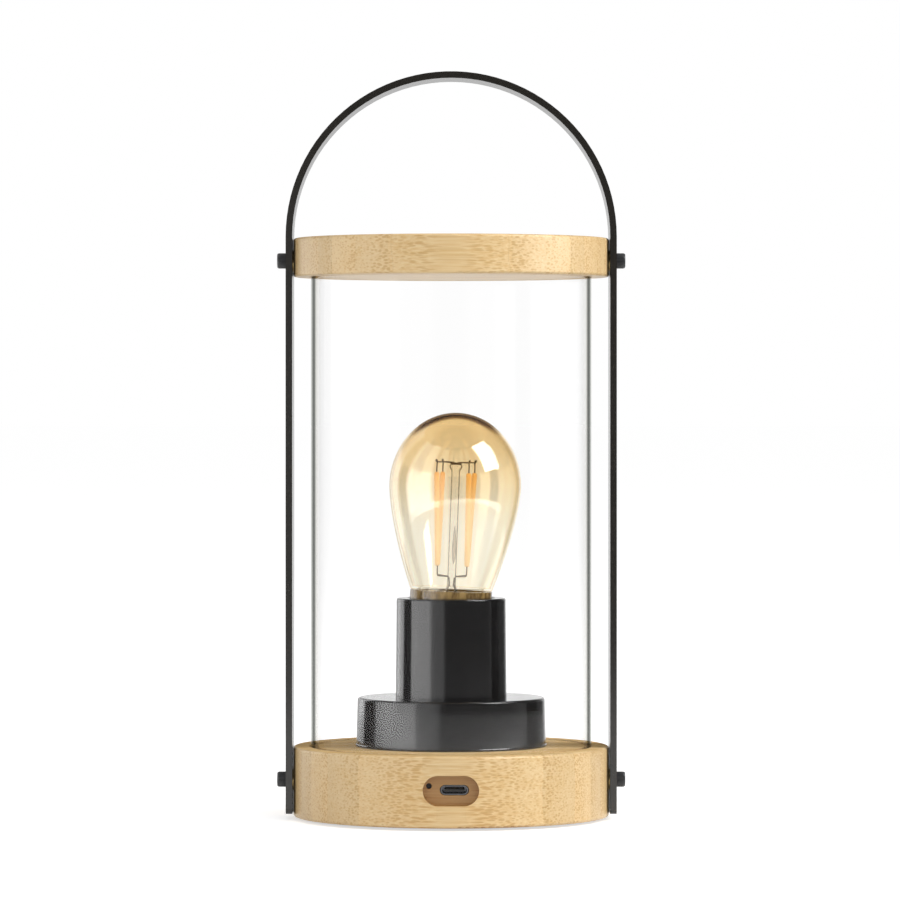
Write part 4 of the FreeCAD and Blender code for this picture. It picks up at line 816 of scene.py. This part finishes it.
def stem(materials):
    """Glass mount: flared foot, rod, pinched top, with leads and an air bubble inside."""
    profile = [
        (0.0, -6.0), (11.0, -6.0), (11.3, -5.7), (11.0, -5.3), (8.6, -4.6), (6.4, -3.8), (5.0, -3.0),
        (3.6, -2.0), (2.6, -0.9), (1.95, 0.2), (1.6, 1.6), (1.5, 3.0), (1.5, 20.0), (1.5, 41.6),
        (1.62, 42.3), (2.05, 42.9), (2.25, 43.5), (2.2, 44.2), (1.8, 44.5), (0.0, 44.5),
    ]
    piece = Piece("stem_glass")
    piece.lathe(profile, 48, leaning(), closed=False)
    done = piece.finish([materials["mount_glass"]], "bulb", 40)
    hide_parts("bulb_stem")
    inside = Piece("stem_leads")
    for side in (1, -1):
        course = ((2.6, -5.6), (2.1, -2.6), (1.2, 0.6), (0.75, 3.2), (0.9, 4.6))
        path = [(side * x, 0, z) for x, z in course]
        inside.tube(path, 0.22, 8, leaning())
    inside.finish([materials["support_wire"]], "bulb", 50)
    bubble = Piece("stem_bubble")
    bubble.lathe(
        [(0.0, 6.2), (0.42, 7.6), (0.66, 9.6), (0.72, 11.6), (0.6, 14.6), (0.36, 17.6), (0.0, 20.4)],
        20, leaning() @ Matrix.Translation((0.45, 0, 3.0)), closed=False,
    )
    bubble.finish([materials["stem_bubble"]], "bulb", 60)


def usb_tongue(materials):
    """Tongue of the receptacle with its two rows of gilded contacts."""
    low, high = (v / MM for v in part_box("usb_tongue"))
    piece = Piece("usb_tongue_contacts")
    piece.box(low, high, 0.12, scaled_to_metres(Matrix.Identity(4)))
    count, pitch, width = 12, 0.5, 0.26
    centre, front = (low.x + high.x) / 2, low.y + 0.25
    for level, lift in ((low.z - 0.02, 0.06), (high.z - 0.04, 0.06)):
        for i in range(count):
            x = centre + (i - (count - 1) / 2) * pitch
            piece.box((x - width / 2, front, level), (x + width / 2, front + 4.2, level + lift), 0.015,
                      scaled_to_metres(Matrix.Identity(4)), slot=1)
    done = piece.finish([materials["port_black"], materials["gold"]], "lamp")
    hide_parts("usb_tongue")


def cover_screw_heads(materials):
    """Pan heads with a cross recess, sunk in the bottom cover."""
    circle, seat, radius, height = 47.2, 2.6, 1.9, 1.1
    piece = Piece("cover_screw_heads")
    for quarter in range(4):
        angle = math.radians(45 + 90 * quarter)
        spot = Vector((circle * math.cos(angle), circle * math.sin(angle), seat))
        place = Matrix.Translation(spot * MM)
        head_down = Matrix.Rotation(math.pi, 4, "X") @ Matrix.Rotation(angle, 4, "Z")
        matrix = scaled_to_metres(place @ head_down)
        steps = 48
        verts, faces = [], []
        rings = ((radius, 0.0), (radius, height * 0.55), (radius * 0.9, height * 0.82),
                 (radius * 0.72, height * 0.97), (radius * 0.6, height), (radius * 0.5, height))
        for reach, level in rings:
            for k in range(steps):
                a = TAU * k / steps
                verts.append((reach * math.cos(a), reach * math.sin(a), level))
        for ring in range(len(rings) - 1):
            for k in range(steps):
                n = (k + 1) % steps
                a, b = ring * steps, (ring + 1) * steps
                faces.append((a + k, a + n, b + n, b + k))
        rim = (len(rings) - 1) * steps
        inner = len(verts)
        for depth in (0.0, 0.7):
            for k in range(steps):
                a = TAU * k / steps
                arm = abs(math.cos(2 * a)) ** 6
                reach = radius * (0.16 + 0.30 * arm) * (1 - 0.25 * depth)
                verts.append((reach * math.cos(a), reach * math.sin(a), height - depth))
        for k in range(steps):
            n = (k + 1) % steps
            faces.append((rim + k, rim + n, inner + n, inner + k))
            faces.append((inner + k, inner + n, inner + steps + n, inner + steps + k))
        verts.append((0, 0, height - 0.8))
        for k in range(steps):
            faces.append((inner + steps + k, inner + steps + (k + 1) % steps, len(verts) - 1))
        piece.add(verts, faces, matrix)
        shank = [(0.0, -7.0), (0.6, -7.0)]
        shank += [(1.0 if i % 2 else 0.78, -6.8 + i * 0.28) for i in range(25)]
        shank += [(1.0, 0.0), (radius, 0.0)]
        piece.lathe(shank, 20, matrix, closed=False)
    done = piece.finish([materials["black_screw"]], "lamp", 32)
    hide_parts("cover_screws")


def make_pieces(materials):
    strap_screw_heads(materials)
    threaded_cap(materials)
    filaments(materials)
    support_wires(materials)
    stem(materials)
    usb_tongue(materials)
    cover_screw_heads(materials)


# --------------------------------------------------------------- floor, light and camera
def glow_material(name, colour, strength):
    """Plain light panel."""
    s = Shader(name)
    s.tree.nodes.remove(s.main)
    glow = s.add("ShaderNodeEmission")
    glow.inputs["Color"].default_value = (*colour, 1.0)
    glow.inputs["Strength"].default_value = strength
    s.link(glow.outputs[0], s.output.inputs["Surface"])
    return s


def stage_object(name, verts, faces, material):
    mesh = bpy.data.meshes.new(name)
    mesh.from_pydata(verts, [], faces)
    mesh.materials.append(material)
    thing = bpy.data.objects.new(name, mesh)
    SCENE.collection.objects.link(thing)
    return thing


# Glow of the floor over its distance from the lamp, as shares of the reach in metres.
FLOOR_LEVELS_REACH = 5.0
FLOOR_LEVELS = ((0.0, 0.62), (0.1, 0.60), (0.3, 0.62), (0.8, 0.64), (1.0, 0.64))


def make_floor():
    """Pale floor that reaches white where no shadow falls."""
    s = Shader("floor_white")
    place = s.place()
    speck = s.noise(place, 300.0, 2.0)
    s.tree.nodes.remove(s.main)
    matt = s.add("ShaderNodeBsdfDiffuse")
    s.link(s.mix(speck, (0.80, 0.80, 0.80), (0.82, 0.82, 0.82)), matt.inputs["Color"])
    glow = s.add("ShaderNodeEmission")
    path = s.add("ShaderNodeLightPath")
    seen = s.math("MAXIMUM", path.outputs["Is Camera Ray"], path.outputs["Is Glossy Ray"])
    seen = s.math("MAXIMUM", seen, path.outputs["Is Transmission Ray"])
    x, y, _ = s.split(place)
    level = s.ramp(s.range(s.from_axis(x, y), 0.0, FLOOR_LEVELS_REACH), FLOOR_LEVELS)
    s.link(s.math("MULTIPLY", seen, level), glow.inputs["Strength"])
    both = s.add("ShaderNodeAddShader")
    s.link(matt.outputs[0], both.inputs[0])
    s.link(glow.outputs[0], both.inputs[1])
    s.link(both.outputs[0], s.output.inputs["Surface"])
    reach = 30.0
    corners = [(-reach, -reach, 0), (reach, -reach, 0), (reach, reach, 0), (-reach, reach, 0)]
    stage_object("floor", corners, [(0, 1, 2, 3)], s.material)


def make_world():
    """White background; a softer level of it lights the lamp."""
    ambient = 0.44
    world = bpy.data.worlds.new("studio")
    SCENE.world = world
    world.use_nodes = True
    nodes, links = world.node_tree.nodes, world.node_tree.links
    background = nodes["Background"]
    background.inputs["Color"].default_value = (1, 1, 1, 1)
    path = nodes.new("ShaderNodeLightPath")
    first = nodes.new("ShaderNodeMath")
    first.operation = "MAXIMUM"
    links.new(path.outputs["Is Camera Ray"], first.inputs[0])
    links.new(path.outputs["Is Glossy Ray"], first.inputs[1])
    second = nodes.new("ShaderNodeMath")
    second.operation = "MAXIMUM"
    links.new(first.outputs[0], second.inputs[0])
    links.new(path.outputs["Is Transmission Ray"], second.inputs[1])
    level = nodes.new("ShaderNodeMapRange")
    level.inputs["To Min"].default_value = ambient
    links.new(second.outputs[0], level.inputs["Value"])
    links.new(level.outputs["Result"], background.inputs["Strength"])


AIM = Vector((0, 0, 0.12))


def area_light(name, direction, distance, width, height, radiance, colour, glossy):
    """A soft rectangular light aimed at the lamp; radiance 1 looks white."""
    data = bpy.data.lights.new(name, "AREA")
    data.shape = "RECTANGLE"
    data.size, data.size_y = width, height
    data.energy = radiance * math.pi * width * height
    data.color = colour
    light = bpy.data.objects.new(name, data)
    way = Vector(direction).normalized()
    light.location = AIM + way * distance
    light.rotation_mode = "QUATERNION"
    light.rotation_quaternion = way.to_track_quat("Z", "Y")
    light.visible_glossy = glossy
    SCENE.collection.objects.link(light)


def make_lights():
    area_light("key_right", (0.744, -0.20, 0.636), 2.0, 1.25, 1.0, 5.2, (1.0, 0.99, 0.97), False)
    area_light("side_right", (1.0, -0.45, 0.12), 2.0, 1.2, 1.4, 1.0, (1.0, 0.99, 0.97), False)
    area_light("fill_left", (-0.85, -0.5, 0.3), 2.0, 1.3, 1.3, 0.30, (0.98, 0.99, 1.0), False)
    area_light("front", (0.15, -0.9, 0.45), 2.2, 1.2, 1.2, 1.25, (1.0, 1.0, 1.0), False)
    area_light("front_high", (0.1, -0.60, 0.80), 2.2, 1.2, 1.2, 1.5, (1.0, 1.0, 1.0), False)
    window_panel()
    make_reflection_wall()


# Brightness of the surroundings that gloss shows, by direction round the lamp: 0 is
# behind it, rising through the left, the camera's side at a half, and the right.
WALL_LEVELS = (
    (0.0, 1.1), (0.04, 0.8), (0.07, 0.6), (0.10, 2.0), (0.24, 2.4), (0.26, 3.6),
    (0.375, 3.6), (0.39, 1.25), (0.452, 1.15), (0.47, 0.14), (0.72, 0.12), (0.76, 0.45),
    (0.82, 0.12), (0.90, 0.12), (0.94, 1.1), (1.0, 1.1),
)
# The same round the lowest strip, which the holder's foot shows.
STRIP_LEVELS = (
    (0.0, 1.1), (0.05, 0.7), (0.10, 1.0), (0.17, 1.1), (0.24, 1.5), (0.28, 2.8), (0.33, 3.4),
    (0.375, 3.8), (0.410, 3.6), (0.43, 2.2), (0.462, 2.0), (0.475, 1.9), (0.56, 2.2), (0.62, 2.7),
    (0.70, 3.3), (0.745, 2.2), (0.77, 0.4), (0.90, 0.25), (0.94, 1.1), (1.0, 1.1),
)


def hide_but_from_gloss(thing):
    """Leaves a light panel to glossy rays alone."""
    thing.visible_camera = False
    thing.visible_diffuse = False
    thing.visible_transmission = False
    thing.visible_shadow = False


def make_reflection_wall():
    """A ring of light panels and dark flags that only glossy rays see."""
    radius, low, high, steps = 0.36, 0.002, 0.80, 96
    s = glow_material("reflection_panels", (1, 1, 1), 1.0)
    x, y, z = s.split(s.place())
    turn = s.math("ARCTAN2", s.math("MULTIPLY", x, -1.0), y)
    share = s.math("FRACT", s.math("ADD", s.math("DIVIDE", turn, TAU), 1.0))
    peak = 4.0
    upper = s.ramp(share, [(p, v / peak) for p, v in WALL_LEVELS])
    strip = s.ramp(share, [(p, v / peak) for p, v in STRIP_LEVELS])
    level = s.mix(s.range(z, 0.016, 0.022, 0.0, 1.0, smooth=True), strip, upper)
    # dimmer above the lid, so that the varnished wood doesn't mirror it as burnt white
    high_share = 0.38
    dimming = s.range(z, 0.200, 0.270, peak, high_share * peak, smooth=True)
    glow = [n for n in s.tree.nodes if n.type == "EMISSION"][0]
    s.link(s.math("MULTIPLY", level, dimming), glow.inputs["Strength"])
    verts, faces = [], []
    for k in range(steps):
        angle = TAU * k / steps
        for rim in (low, high):
            verts.append((radius * math.cos(angle), radius * math.sin(angle), rim))
    for k in range(steps):
        n = (k + 1) % steps
        faces.append((2 * k, 2 * n, 2 * n + 1, 2 * k + 1))
    hide_but_from_gloss(stage_object("reflection_wall", verts, faces, s.material))


def window_panel():
    """Bright panel at the key's place, inside the ring, which only gloss shows."""
    way = Vector((0.700, -0.24, 0.560)).normalized()
    across = way.cross(Vector((0, 0, 1))).normalized()
    up = across.cross(way)
    distance, half_width, half_height, strength = 0.30, 0.085, 0.105, 9.0
    centre = AIM + way * distance
    corners = [centre + across * (half_width * a) + up * (half_height * b)
               for a, b in ((-1, -1), (1, -1), (1, 1), (-1, 1))]
    panel = stage_object("window_panel", [c[:] for c in corners], [(0, 1, 2, 3)],
                         glow_material("window_glow", (1, 1, 1), strength).material)
    hide_but_from_gloss(panel)


def make_camera():
    """Level camera in front of the lamp, 1.735 m away."""
    data = bpy.data.cameras.new("camera")
    data.sensor_width = 36.0
    data.lens = 197.6
    data.shift_x = -0.00133
    data.shift_y = -0.0522
    camera = bpy.data.objects.new("camera", data)
    camera.location = (0.0, -1.735, 0.1458)
    camera.rotation_euler = (math.pi / 2, 0.0, 0.0)
    SCENE.collection.objects.link(camera)
    SCENE.camera = camera


SCENE.view_settings.view_transform = "Standard"
SCENE.cycles.transparent_max_bounces = 24  # tube, bulb, stem and bubble, front and back
MATERIALS = make_materials()
dress_nodes(MATERIALS)
make_pieces(MATERIALS)
make_floor()
make_world()
make_lights()
make_camera()
